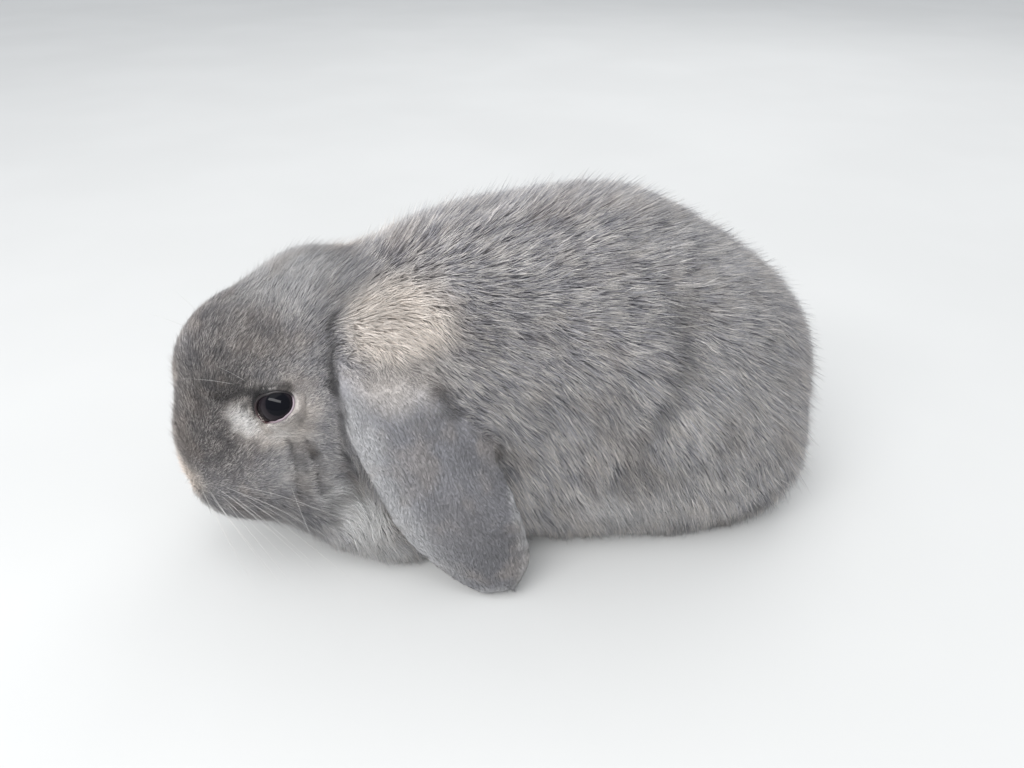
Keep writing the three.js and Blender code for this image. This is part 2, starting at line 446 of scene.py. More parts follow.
class Look(Graph):
    """The node tree of one material."""

    def __init__(self, name: str) -> None:
        """Starts an empty material.

        Args:
            name: The material's name.
        """
        self.material = bpy.data.materials.new(name)
        self.material.use_nodes = True
        super().__init__(self.material.node_tree)
        self.tree.nodes.clear()

    def attribute(self, name: str, output: str = "Fac") -> Wire:
        """A named attribute of the mesh."""
        return self.wire("ShaderNodeAttribute", output, {"attribute_name": name})

    def noise(self, vector: Wire, size: float, detail: float = 2.0) -> Wire:
        """Noise from 0 to 1 with ripples about size metres wide."""
        return self.wire("ShaderNodeTexNoise", 0, Vector=vector, Scale=1.0 / size, Detail=detail)

    def blend(self, share: Wire, first: Any, second: Any) -> Wire:
        """Mixes two colours.

        Args:
            share: How much of the second colour there is.
            first: A colour or a Wire.
            second: A colour or a Wire.

        Returns:
            The mixed colour.
        """
        settings = {"data_type": "RGBA", "clamp_factor": True}
        return self.wire("ShaderNodeMix", 2, settings, _0=share, _6=first, _7=second)

    def lighten(self, colour: Wire, factor: Wire) -> Wire:
        """A colour times a number."""
        return self.wire("ShaderNodeVectorMath", 0, {"operation": "SCALE"}, _0=colour, Scale=factor)

    def parts(self, vector: Wire) -> list[Wire]:
        """The three numbers of a vector."""
        apart = self.node("ShaderNodeSeparateXYZ", _0=vector)
        return [Wire(self, output) for output in apart.outputs]

    def finish(self, specular: float = 0.5, sheen: float = 0.0, **values: Any) -> bpy.types.Material:
        """Ends the tree in one shader.

        Args:
            specular: How strongly the surface mirrors, the same all over.
            sheen: How strongly fine hairs catch the light, the same all over.
            **values: The shader's other values and links, as for node.

        Returns:
            The finished material.
        """
        shader = self.node("ShaderNodeBsdfPrincipled", **values)
        shader.inputs["Specular IOR Level"].default_value = specular
        shader.inputs["Sheen Weight"].default_value = sheen
        shader.inputs["Sheen Roughness"].default_value = 0.5
        output = self.tree.nodes.new("ShaderNodeOutputMaterial")
        self.tree.links.new(shader.outputs[0], output.inputs[0])
        return self.material


# ---- The head's own frame ----
@dataclass(frozen=True)
class HeadFrame:
    """The skull's axes: x to its left, -y out along the nose, z up through the crown.

    The left eye stands at eye_place in it, and the right one mirrors that.
    """

    pitch: float = 25.0
    eye_place: Triple = (20.9 * MM, -9.0 * MM, 5.0 * MM)

    def axes(self) -> Array:
        """Finds the axes from the two eyes and the pitch.

        Returns:
            Rows of the x, y and z axes.
        """
        left, right = (self._middle(f"eye_{side}") for side in ("left", "right"))
        x = unit(left - right)
        level = np.cross([0.0, 0.0, 1.0], x)
        tilt = math.radians(self.pitch)
        y = level * math.cos(tilt) + np.array([0.0, 0.0, 1.0]) * math.sin(tilt)
        return np.array([x, y, np.cross(x, y)])

    def origin(self) -> Array:
        """Finds the middle of the skull.

        Returns:
            Its place in the model's frame.
        """
        between = (self._middle("eye_left") + self._middle("eye_right")) / 2.0
        axes = self.axes()
        return between - axes[1] * self.eye_place[1] - axes[2] * self.eye_place[2]

    @staticmethod
    def _middle(node: str) -> Array:
        """The middle of a node's box."""
        low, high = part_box(node)
        return np.array((low + high) / 2.0)

    def inward(self, points: Array) -> Array:
        """Places in the head's frame."""
        return (points - self.origin()) @ self.axes().T

    def outward(self, points: Array) -> Array:
        """Places of the head's frame in the model's frame."""
        return points @ self.axes() + self.origin()

    def turned(self, directions: Array) -> Array:
        """Directions of the head's frame in the model's frame."""
        return directions @ self.axes()


HEAD = HeadFrame()


def sided(local: Array, faces: Array, side: float) -> tuple[Array, Array]:
    """Takes a closed shape from the head's +x side to either side of the model.

    Args:
        local: Rows of places in the head's frame.
        faces: Rows of vertex numbers.
        side: 1 for the left, -1 for the right.

    Returns:
        Places in the model's frame, and faces that point outwards.
    """
    places = HEAD.outward(local * np.array([side, 1.0, 1.0]))
    return places, outwards(places, faces)


# ---- The opening between the lids ----
@dataclass(frozen=True)
class EyeOpening:
    """The almond between the lids, in the frame of a head whose eye is on the +x side.

    Its reaches are pairs of degrees: a turn round the axis, 0 towards the nose and growing
    upwards, and how far from the axis the opening goes there.
    """

    radius: float = 8.2 * MM
    axis: Triple = (0.80, -0.42, 0.43)
    gaze: Triple = (0.82, -0.08, 0.56)
    reaches: tuple[tuple[float, float], ...] = (
        (-12.0, 58.0), (30.0, 52.0), (70.0, 44.0), (110.0, 38.0), (145.0, 46.0), (175.0, 58.0),
        (205.0, 48.0), (235.0, 33.0), (275.0, 26.0), (325.0, 31.0), (348.0, 58.0),
    )
    rounding: float = 7.0

    def basis(self) -> Array:
        """Finds the directions that the opening is measured along.

        Returns:
            Rows of the axis, the way to the nose and the way up, all at right angles.
        """
        axis = unit(np.array(self.axis))
        noseward = flattened(np.array([[0.0, -1.0, 0.0]]), axis[None])[0]
        return np.array([axis, noseward, np.cross(noseward, axis)])

    def reach(self, angle: Array) -> Array:
        """How far the opening reaches from the axis, in radians.

        Args:
            angle: Angles round the axis, 0 towards the nose and growing upwards.

        Returns:
            The reach at each angle.
        """
        turns, tilts = np.array(self.reaches).T
        found = np.zeros(np.shape(angle))
        steps = (-1.0, -0.5, 0.0, 0.5, 1.0)
        for step in steps:
            found += np.interp(np.degrees(angle) + step * self.rounding, turns, tilts, period=360.0)
        return np.radians(found / len(steps))

    def polar(self, local: Array) -> tuple[Array, Array, Array]:
        """Reads places round the middle of the eye.

        Args:
            local: Rows of places in the head's frame, with x never negative.

        Returns:
            The distance from the middle, the share of the opening's reach and the angle round it.
        """
        away = local - np.array(HEAD.eye_place)
        distance = np.linalg.norm(away, axis=1)
        onward, noseward, up = (unit(away) @ self.basis().T).T
        angle = np.arctan2(up, noseward)
        return distance, np.arccos(np.clip(onward, -1.0, 1.0)) / self.reach(angle), angle

    def rim(self, angle: Array, share: float, height: float) -> Array:
        """Places along the edge of the opening.

        Args:
            angle: Angles round the axis.
            share: Share of the opening's reach, 1 at its edge.
            height: How far above the eyeball.

        Returns:
            Rows of places in the head's frame.
        """
        axis, noseward, up = self.basis()
        tilt = self.reach(angle) * share
        flat = np.cos(angle)[:, None] * noseward + np.sin(angle)[:, None] * up
        ray = np.cos(tilt)[:, None] * axis + np.sin(tilt)[:, None] * flat
        return np.array(HEAD.eye_place) + ray * (self.radius + height)


OPENING = EyeOpening()


# ---- Markings ----
@dataclass(frozen=True)
class Patch:
    """A soft-edged patch of a tone, an ellipsoid round a place.

    The place and radii are in millimetres, in the head's frame where on_head is true.
    """

    place: Triple
    radii: Triple
    amount: float = 1.0
    soft: float = 0.5
    on_head: bool = False
    both_sides: bool = True

    def at(self, points: Array) -> Array:
        """How strongly the patch shows at each of the points.

        Args:
            points: Rows of places in metres.

        Returns:
            Numbers from 0 to the patch's amount.
        """
        local = HEAD.inward(points) if self.on_head else points
        if self.both_sides:
            local = mirrored_left(local)
        reach = np.linalg.norm((local / MM - self.place) / self.radii, axis=1)
        return self.amount * (1.0 - ramp(reach, 1.0 - self.soft, 1.0 + self.soft))


@dataclass(frozen=True)
class Line:
    """A bent line, in millimetres.

    On the head it is in the skull's frame, on its left side and mirrored, and it is read as
    seen from the middle of the skull, so that it holds at any depth of the coat.
    """

    points: tuple[Triple, ...]
    width: float
    amount: float = 1.0
    on_head: bool = True
    middle: Triple = (0.0, -12.0, -4.0)
    outer: tuple[float, float] = (1.0, 3.0)

    def near(self, local: Array) -> Array:
        """The line's amount, falling to nothing over its width.

        On the head it also falls to nothing between the two outer heights above the line.

        Args:
            local: Rows of places in metres, in the head's frame with x never negative for
                a line on the head, otherwise in the model's frame.

        Returns:
            Numbers from 0 to the line's amount.
        """
        points = np.array(self.points)
        places = local / MM
        size = np.ones(len(places))
        own = np.ones(len(points))
        if self.on_head:
            size = np.linalg.norm(places - self.middle, axis=1)
            own = np.linalg.norm(points - self.middle, axis=1)
            places, points = unit(places - self.middle), unit(points - self.middle)
        best = np.zeros(len(places))
        for number, (start, end) in enumerate(zip(points[:-1], points[1:])):
            span = end - start
            t = np.clip((places - start) @ span / (span @ span), 0.0, 1.0)
            away = np.linalg.norm(places - start - t[:, None] * span, axis=1) * size
            above = size - own[number] - t * (own[number + 1] - own[number])
            near = np.exp(-((away / self.width) ** 2)) * (1.0 - ramp(above, *self.outer))
            best = np.maximum(best, near)
        return self.amount * best

    def at(self, points: Array) -> Array:
        """The line's amount at places of the model, which for a head line ends at the neck.

        Args:
            points: Rows of places in metres.

        Returns:
            Numbers from 0 to the line's amount.
        """
        if not self.on_head:
            return self.near(points)
        local = mirrored_left(HEAD.inward(points))
        return self.near(local) * ramp(local[:, 1], 40.0 * MM, 30.0 * MM)

    def other_side(self, step: float) -> "Line":
        """The same line on the model's other side, step millimetres further back."""
        return replace(self, points=tuple((-x, y + step, z) for x, y, z in self.points))


@dataclass(frozen=True)
class LidShade:
    """The dark hair along the upper lid, with the shade that the lid casts painted in over it."""

    amount: float = 1.0
    reach: float = 1.3
    soft: float = 0.12

    def at(self, points: Array) -> Array:
        """How strongly it shows at places of the model.

        Args:
            points: Rows of places in metres.

        Returns:
            Numbers from 0 to its amount.
        """
        distance, share, angle = OPENING.polar(mirrored_left(HEAD.inward(points)))
        upper = ramp(np.sin(angle), 0.0, 0.35)
        near = (distance < OPENING.radius + 5.0 * MM) & (share > 0.6)
        edge = 1.0 - ramp(share, self.reach - self.soft, self.reach + self.soft)
        return self.amount * upper * near * edge


def on_head(place: Triple, radii: Triple, amount: float, soft: float) -> Patch:
    """A patch on both sides of the head, or on its middle."""
    return Patch(place, radii, amount, soft, on_head=True)


def pair(left: Triple, right: Triple, radii: Triple, amount: float, soft: float) -> tuple[Patch, Patch]:
    """A patch on each side of the front half, whose sides differ because the head is turned.

    Args:
        left: The left patch's place.
        right: The right patch's place.
        radii: The radii of both.
        amount: How strongly both show.
        soft: How soft the edges are.

    Returns:
        Both patches.
    """
    first = Patch(left, radii, amount, soft, both_sides=False)
    return first, replace(first, place=right)


def both(line: Line, step: float) -> tuple[Line, Line]:
    """A line of the model's left side and the same one on its right, step further back."""
    return line, line.other_side(step)


EAR_STEP = -11.8
# Folds pressed into the skin of the face; their dark lines in the markings are painted shade in the
# creases.
BROW_FOLD = Line(((16.5, -26.5, 18.5), (20.5, -18, 16.5), (22.5, -13.5, 14.5)), 2.2, 0.75)
CHEEK_FOLDS = (
    Line(((31.0, -16, -6), (32, -18.5, -12), (32.5, -22.5, -19), (31, -26, -25)), 1.9, 0.9),
    Line(((33.5, -11, -7), (34.5, -12.5, -13), (35.5, -15.5, -20), (34, -19, -27)), 1.9, 0.9),
)
JAW_FOLD = Line(((42, -3, -23), (41.5, -11, -31.5), (39.1, -18.9, -35), (35, -25, -37)), 2.0, 0.6)
# Painted shade in the crease where the ear rises from the side of the head.
EAR_CREASE_SHADE = Line(
    (
        (29, 20, 26), (32.5, 18.4, 23.2), (35.2, 13, 15.8),
        (35.4, 7.6, 7.4), (37.4, 2.8, -2.8), (40.3, -3.1, -19),
    ),
    1.0, 0.8,
)
# The nostrils, the lip split and the mouth are cut into the skin; their dark lines in the markings are
# painted shade in these recesses.
NOSTRIL = Line(((1.6, -53, -12.5), (3.2, -52.5, -10.8), (4.8, -51, -9.6)), 0.8, 1.6)
LIP_SPLIT = Line(((0, -53, -12.5), (0, -53, -19.5)), 0.7, 1.1)
MOUTH = Line(((0, -52, -19.5), (3, -51, -21.5), (6.5, -47.5, -23), (9.5, -42, -24)), 0.8, 1.3)
# Painted sheen along the ear's front edge.
EAR_EDGE_SHEEN = Line(
    ((37.4, -68.7, 67.4), (43.5, -63.3, 46.3), (49.8, -55.6, 28), (54, -43.6, 7.8)),
    7.0, 0.32, on_head=False,
)
EAR_REAR = Line(
    ((46, -38, 66), (50.4, -22.4, 47.6), (58.5, -17.6, 26.9), (60, -26, 8)), 8.0, 0.32, on_head=False
)
# Painted sheen along the ear's lower rear rim.
EAR_RIM_SHEEN = Line(
    (
        (52, -18, 41), (56.7, -17.5, 32), (60, -15.8, 20.8),
        (62, -15.5, 13.2), (62.5, -21, 5), (60.8, -31, 3),
    ),
    1.8, 0.45, on_head=False,
)
EAR_SHADOW = Line(
    (
        (40, -41, 77), (43, -37, 63), (44, -31, 57), (45, -20, 50),
        (47, -16, 42), (49, -14, 33), (50, -13, 22),
    ),
    3.0, 0.72, on_head=False,
)
# Painted shade in the folds of the thigh and haunch.
THIGH_FOLD_SHADES = (
    Line(
        ((36, 39.4, 94), (43, 40.6, 80), (47.5, 35, 66), (48.5, 27, 52), (48.5, 18, 36)),
        4.0, 0.55, on_head=False,
    ),
    Line(((48.5, 18, 36), (51, 35, 37), (53, 48.6, 40), (52, 59.5, 48)), 3.0, 0.45, on_head=False),
    Line(((51, 60, 8), (51, 70.7, 10.5), (50.5, 80, 18), (50.5, 88.5, 28)), 3.0, 0.5, on_head=False),
)


@dataclass(frozen=True)
class Markings:
    """Where the coat is cream, white, dark or brownish.

    The dark marks also hold painted shade: in the folds and creases of the face, ear and thigh,
    in the nostrils and mouth, along the upper lid, behind the ear and in the shoulder crease.
    The white marks also hold painted sheen along the ear's edges.
    """

    cream: tuple[Patch | Line, ...] = (
        *pair((27, -51, 98), (-25, -58, 98), (15, 18, 17), 1.0, 0.36),
        *pair((37, -51, 84), (-36, -61, 84), (9, 15, 12), 0.55, 0.6),
        on_head((23, -22, 6), (8, 7, 8), 0.7, 0.5),
        on_head((26, -16, -2), (8, 11, 5), 0.75, 0.6),
        on_head((30, -4, 3), (5.5, 5, 4.5), 0.5, 0.6),
        on_head((27, -9, 13), (7, 10, 4), 0.35, 0.6),
        on_head((0, -52, -9), (13, 8, 7), 0.8, 0.5),
        on_head((34, -17, -16), (2.5, 3, 7), 0.35, 0.6),
        on_head((31, -22, -18), (2.5, 3, 7), 0.3, 0.6),
    )
    white: tuple[Patch | Line, ...] = (
        on_head((21.5, -23.5, 7), (5.5, 5, 5.5), 0.75, 0.45),
        on_head((27, -17, -1), (5, 8, 3.4), 0.5, 0.6),
        on_head((0, -51, -21), (11, 9, 7), 0.9, 0.4),
        on_head((0, -36, -40), (15, 26, 8), 0.8, 0.5),
        on_head((0, 14, 36), (22, 14, 11), 0.36, 0.7),
        on_head((32, -19, -12), (7, 9, 11), 0.2, 0.6),
        on_head((36, -9, -16), (7, 8, 10), 0.12, 0.6),
        Patch((10, -66, 12), (34, 16, 19), 1.0, 0.5, both_sides=False),
        *pair((35, -72, 27), (-29, -80, 27), (12, 12, 12), 1.0, 0.4),
        # Painted sheen along the ear's edges.
        *both(EAR_EDGE_SHEEN, EAR_STEP),
        *both(EAR_RIM_SHEEN, EAR_STEP),
        Patch((0, 116, 10), (16, 20, 20), 0.9, 0.4),
        Patch((48, 22, 18), (14, 34, 11), 0.35, 0.7),
        Patch((50, 52, 52), (16, 30, 26), 0.1, 0.8),
    )
    dark: tuple[Patch | Line | LidShade, ...] = (
        on_head((16, -23, 21), (10, 10, 8), 0.5, 0.7),
        # Painted shade at the top of the second cheek fold.
        on_head((32.5, -12.7, -11.3), (5, 2.2, 2.2), 0.9, 0.5),
        *pair((40, -54, 80), (-38, -64, 80), (8, 8, 5), 0.2, 0.8),
        # Partly dark slate hair, partly painted shade in the shoulder crease behind the nape.
        *pair((34, -27, 95), (-32, -33, 95), (8, 7, 12), 0.18, 0.8),
        *pair((60, -24, 15), (-58, -36, 15), (14, 15, 20), 0.48, 0.8),
        *both(EAR_REAR, EAR_STEP),
        *both(EAR_SHADOW, EAR_STEP),
        *(side for fold in THIGH_FOLD_SHADES for side in both(fold, 0.0)),
        # Painted shade in the cheek folds, the brow fold, the ear's crease and under the jaw.
        *(replace(fold, amount=0.6, width=1.6) for fold in CHEEK_FOLDS),
        BROW_FOLD,
        EAR_CREASE_SHADE,
        JAW_FOLD,
        # Painted shade in the nostrils, the lip split and the mouth.
        replace(NOSTRIL, width=0.7, amount=1.0),
        replace(LIP_SPLIT, width=0.5, amount=0.7),
        replace(MOUTH, width=0.6, amount=0.9),
        LidShade(),
    )
    brown: tuple[Patch | Line, ...] = (
        on_head((8, -30, 10), (24, 24, 24), 0.9, 0.6),
        on_head((19, -22, 17), (11, 12, 11), 1.0, 0.6),
        on_head((12, -10, 28), (24, 17, 12), 0.9, 0.6),
        *pair((55, -38, 33), (-53, -50, 33), (6, 10, 13), 0.3, 0.7),
    )

    def at(self, points: Array) -> Array:
        """Reads the tones at places on the skin.

        Args:
            points: Rows of places in metres.

        Returns:
            Rows of cream, white and dark, each from 0 to 1.
        """
        groups = (self.cream, self.white, self.dark)
        return np.clip(np.stack([self._most(group, points) for group in groups], axis=1), 0.0, 1.0)

    def warmth(self, points: Array) -> Array:
        """How brownish the coat is at places on the skin."""
        return self._most(self.brown, points)

    @staticmethod
    def _most(group: Sequence[Patch | Line | LidShade], points: Array) -> Array:
        """Reads the strongest of a group of marks, whose edges waver a little.

        Args:
            group: The marks.
            points: Rows of places in metres.

        Returns:
            One number for each place.
        """
        waver = ripples(points, 9.0 * MM, 41) * 0.9 + ripples(points, 3.0 * MM, 42) * 0.7
        return np.max([one.at(points + waver * MM) for one in group], axis=0)


MARKINGS = Markings()


def mark(mesh: bpy.types.Mesh, roots: Array, kind: Array) -> None:
    """Stores what the coat's finish reads.

    Args:
        mesh: The skin or a coat piece.
        roots: For each vertex, its root's place on the skin.
        kind: For each vertex, the shares of face, ear and foot at its root.
    """
    set_attribute(mesh, "place", roots)
    set_attribute(mesh, "kind", kind)
    set_attribute(mesh, "tones", MARKINGS.at(roots))
    set_attribute(mesh, "warmth", MARKINGS.warmth(roots))


# ---- Finishes ----
def shade(grey: float, red: float = 0.0, blue: float = 0.0) -> Colour:
    """A near-grey colour with a lean to red or to blue."""
    return (grey * (1.0 + red), grey, grey * (1.0 + blue), 1.0)


@dataclass(frozen=True)
class CoatFinish:
    """The colours of a coat: the same for the skin and for the tufts that stand on it.

    Each tick is a step between two numbers. Dark ones are sooty hairs, pale ones are cream
    towards the tip, and both gather where the mottle is strong. The calm values are the shares
    by which parts of the coat have less of them. Each light value multiplies the colour, and
    each uneven value is how far that varies. The root and tip light values darken each tuft
    towards its root: partly the slate root of the hair, partly painted shade between the tufts.
    """

    body: Colour = shade(0.44, 0.03, 0.05)
    face: Colour = shade(0.34, 0.02, 0.03)
    ear: Colour = shade(0.26, 0.01, 0.08)
    # Darker than the body: painted shade, as if the feet lay under the belly.
    foot: Colour = shade(0.24, 0.03, 0.02)
    warm: Colour = shade(0.14, 0.1, -0.03)
    cream: Colour = shade(0.8, 0.1, -0.09)
    # Also used for painted sheen along the ear's edges.
    white: Colour = shade(0.95, 0.01, -0.01)
    # Dark marks, and painted shade in creases, folds, the nostrils and mouth, over the lid and behind
    # the ear.
    dark: Colour = shade(0.06, 0.04, 0.02)
    pale_tick: Colour = shade(0.85, 0.06, -0.06)
    dark_tick: Colour = shade(0.09, -0.05, 0.25)
    rust: Colour = shade(0.38, 0.16, -0.12)
    pale_step: tuple[float, float] = (1.5, 1.88)
    pale_along: tuple[float, float] = (0.2, 0.65)
    pale_amount: float = 0.85
    dark_step: tuple[float, float] = (1.32, 0.95)
    dark_amount: float = 0.72
    rust_step: tuple[float, float] = (0.48, 0.68)
    rust_amount: float = 0.3
    mottle: float = 4.2 * MM
    clouds: float = 22.0 * MM
    rust_size: float = 13.2 * MM
    calm_ear: float = 0.9
    calm_face: float = 0.55
    calm_cream: float = 0.8
    calm_white: float = 0.7
    root_light: float = 0.6
    tip_light: float = 0.5
    tuft_uneven: float = 0.45
    cloud_uneven: float = 0.4
    skin_light: float = 0.75
    skin_uneven: float = 0.9
    skin_grain: float = 0.9 * MM
    skin_bump: float = 0.7 * MM

    def material(self, on_tufts: bool) -> bpy.types.Material:
        """Builds the material.

        Args:
            on_tufts: Whether it is for tufts, which also vary along their length.

        Returns:
            The material.
        """
        look = Look("coat_of_tufts" if on_tufts else "coat_on_skin")
        place = look.attribute("place", "Vector")
        cream, white, dark = look.parts(look.attribute("tones", "Vector"))
        face, ear, foot = look.parts(look.attribute("kind", "Vector"))
        colour = look.blend(face, self.body, self.face)
        for share, tone in ((ear, self.ear), (foot, self.foot), (look.attribute("warmth"), self.warm)):
            colour = look.blend(share, colour, tone)
        for share, tone in ((cream, self.cream), (white, self.white)):
            colour = look.blend(share, colour, tone)
        if on_tufts:
            calm = (1.0 - ear * self.calm_ear) * (1.0 - face * self.calm_face)
            calm = calm * (1.0 - cream * self.calm_cream) * (1.0 - white * self.calm_white)
            other = (look.attribute("chance") * 13.0).fraction()
            colour = self._ticked(look, colour, place, other, calm)
            light = (other - 0.5) * (1.0 - ear * 0.6) * self.tuft_uneven
            # Darker towards the root: partly the hair's slate root, partly painted shade between the
            # tufts; cream parts get less of it.
            light = light + look.attribute("along") * self.tip_light + self.root_light + cream * 0.1
        else:
            light = (look.noise(place, self.skin_grain, 3.0) - 0.5) * self.skin_uneven + self.skin_light
        # Dark marks together with painted shade in creases, folds and recesses.
        colour = look.blend(dark, colour, self.dark)
        rusty = look.noise(place, self.rust_size).step(*self.rust_step) * self.rust_amount
        colour = look.blend(rusty, colour, self.rust)
        cloudy = (look.noise(place, self.clouds) - 0.5) * self.cloud_uneven
        colour = look.lighten(colour, light + cloudy)
        values: dict[str, Any] = {"Base_Color": colour, "Roughness": 0.75}
        if not on_tufts:
            height = look.noise(place, self.skin_bump, 3.0)
            values["Normal"] = look.wire(
                "ShaderNodeBump", 0, Strength=0.6, Distance=0.4 * MM, Height=height
            )
        return look.finish(specular=0.25, sheen=0.15, **values)

    def _ticked(self, look: Look, colour: Wire, place: Wire, other: Wire, calm: Wire) -> Wire:
        """Adds the dark and the pale ticks of an agouti coat.

        Args:
            look: The material's tree.
            colour: The colour without ticks.
            place: The tuft's root.
            other: A random number of each tuft, apart from its chance.
            calm: How much of the ticking this part of the coat has.

        Returns:
            The ticked colour.
        """
        mottle = look.noise(place, self.mottle)
        sooty = (other + mottle * 1.8).step(*self.dark_step) * calm * self.dark_amount
        colour = look.blend(sooty, colour, self.dark_tick)
        pale = (look.attribute("chance") + mottle * 2.2).step(*self.pale_step)
        pale = pale * look.attribute("along").step(*self.pale_along) * calm * self.pale_amount
        return look.blend(pale, colour, self.pale_tick)


@dataclass(frozen=True)
class PlainFinish:
    """A finish of one or two close colours with a soft variation over the surface."""

    name: str
    colour: Colour
    second: Colour
    roughness: float = 0.5
    grain: float = 1.5 * MM

    def material(self) -> bpy.types.Material:
        """Builds the material.

        Returns:
            The material.
        """
        look = Look(self.name)
        noise = look.noise(look.wire("ShaderNodeTexCoord", "Object"), self.grain, 3.0)
        colour = look.blend(noise.step(0.35, 0.7), self.colour, self.second)
        bump = look.wire("ShaderNodeBump", 0, Strength=0.2, Distance=0.1 * MM, Height=noise)
        return look.finish(Base_Color=colour, Roughness=self.roughness, Normal=bump)


@dataclass(frozen=True)
class EyeFinish:
    """A wet dark eye: a black pupil in a brown-grey iris.

    The steps are shares of the way round from the gaze to the rim.
    """

    pupil: Colour = (0.0015, 0.0018, 0.004, 1.0)
    iris: Colour = (0.013, 0.010, 0.013, 1.0)
    rim: Colour = (0.006, 0.004, 0.005, 1.0)
    pupil_edge: tuple[float, float] = (0.42, 0.5)
    iris_edge: tuple[float, float] = (0.72, 0.95)

    def material(self) -> bpy.types.Material:
        """Builds the material, which reads how far each point is from the gaze.

        Returns:
            The material.
        """
        look = Look("wet_eye")
        away = look.attribute("away")
        streak = (look.noise(look.wire("ShaderNodeTexCoord", "Object"), 0.7 * MM, 2.0) - 0.5) * 0.08
        colour = look.blend((away + streak).step(*self.pupil_edge), self.pupil, self.iris)
        colour = look.blend(away.step(*self.iris_edge), colour, self.rim)
        return look.finish(specular=0.12, Base_Color=colour, Roughness=0.04)


@dataclass(frozen=True)
class LidFinish:
    """Bare lid edges: black above, reddish towards the nose and pale below."""

    upper: Colour = (0.012, 0.009, 0.010, 1.0)
    nasal: Colour = (0.070, 0.030, 0.032, 1.0)
    lower: Colour = (0.300, 0.240, 0.270, 1.0)

    def material(self) -> bpy.types.Material:
        """Builds the material, which reads which part of the lids a point is on.

        Returns:
            The material.
        """
        look = Look("lid_edge")
        colour = look.blend(look.attribute("lower"), self.upper, self.lower)
        colour = look.blend(look.attribute("nasal") * 0.85, colour, self.nasal)
        return look.finish(Base_Color=colour, Roughness=0.3)


COAT = CoatFinish()


# ---- Eyes and lids ----
@dataclass
class Eyes:
    """Both eyeballs with their lid rims and inner corners."""

    rings: int = 40
    around: int = 64
    cornea_swell: float = 0.35 * MM
    cornea_edge: tuple[float, float] = (math.radians(20), math.radians(52))
    seen: float = math.radians(60.0)
    rim_sections: int = 96
    rim_sides: int = 8
    rim_thickness: float = 0.42 * MM
    rim_brow: float = 0.22 * MM
    rim_share: float = 1.03
    rim_height: float = 0.25 * MM
    nasal_turn: float = -10.0
    nasal_width: float = 42.0

    def build(self) -> None:
        """Makes the pieces of each side."""
        ball = EyeFinish().material()
        edge = LidFinish().material()
        for name, side in (("left", 1.0), ("right", -1.0)):
            eye = self._ball(name, side)
            eye.data.materials.append(ball)
            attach(eye, "root")
            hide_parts(f"eye_{name}")
            rim = self._rim(name, side)
            rim.data.materials.append(edge)
            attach(rim, "root")
            LOG.info("eye and lid rim, %s", name)

    def _ball(self, name: str, side: float) -> bpy.types.Object:
        """One eyeball, with a cornea that swells a little round the gaze.

        Args:
            name: The side's name.
            side: 1 for the left, -1 for the right.

        Returns:
            The eyeball.
        """
        axis = unit(np.array(OPENING.gaze))
        across = flattened(np.array([[0.0, 0.0, 1.0]]), axis[None])[0]
        third = np.cross(axis, across)
        tilt = np.linspace(0.0, math.pi, self.rings + 1)[1:-1]
        tilts, turns = np.meshgrid(tilt, full_turn(self.around), indexing="ij")
        tilts = np.concatenate([[0.0], tilts.ravel(), [math.pi]])
        turns = np.concatenate([[0.0], turns.ravel(), [0.0]])
        flat = np.cos(turns)[:, None] * across + np.sin(turns)[:, None] * third
        ray = np.cos(tilts)[:, None] * axis + np.sin(tilts)[:, None] * flat
        swell = self.cornea_swell * (1.0 - ramp(tilts, *self.cornea_edge))
        places = np.array(HEAD.eye_place) + ray * (OPENING.radius + swell)[:, None]
        mesh = mesh_from(f"eye_{name}_wet", *sided(places, ball_faces(len(tilt), self.around), side))
        set_attribute(mesh, "away", tilts / self.seen)
        return shown(mesh.name, mesh)

    def _rim(self, name: str, side: float) -> bpy.types.Object:
        """The bare edge of both lids, a tube along the opening, thicker along the brow.

        Args:
            name: The side's name.
            side: 1 for the left, -1 for the right.

        Returns:
            The rim.
        """
        angle = full_turn(self.rim_sections)
        thick = self.rim_thickness + self.rim_brow * np.clip(np.sin(angle), 0.0, 1.0)
        middle = OPENING.rim(angle, self.rim_share, self.rim_height)
        outer = unit(OPENING.rim(angle, 1.3, self.rim_height) - middle)
        above = unit(middle - np.array(HEAD.eye_place))
        turn = full_turn(self.rim_sides)[None, :, None]
        section = np.cos(turn) * outer[:, None] + np.sin(turn) * above[:, None]
        places = (middle[:, None] + thick[:, None, None] * section).reshape(-1, 3)
        faces = band_faces(self.rim_sections, self.rim_sides, self.rim_sections)
        mesh = mesh_from(f"lid_rim_{name}", *sided(places, faces, side))
        from_nose = (np.degrees(angle) - self.nasal_turn + 180.0) % 360.0 - 180.0
        nasal = np.exp(-((from_nose / self.nasal_width) ** 2))
        lower = ramp(np.sin(angle + 0.25), -0.15, -0.45)
        set_attribute(mesh, "lower", np.repeat(lower, self.rim_sides))
        set_attribute(mesh, "nasal", np.repeat(nasal, self.rim_sides))
        return shown(mesh.name, mesh)


# ---- Skin ----
# Each pass goes some of the way to the mean and a little further back, so nothing shrinks.
FIRM_PASS = (0.6, -0.62)
GENTLE_PASS = (0.5, -0.52)


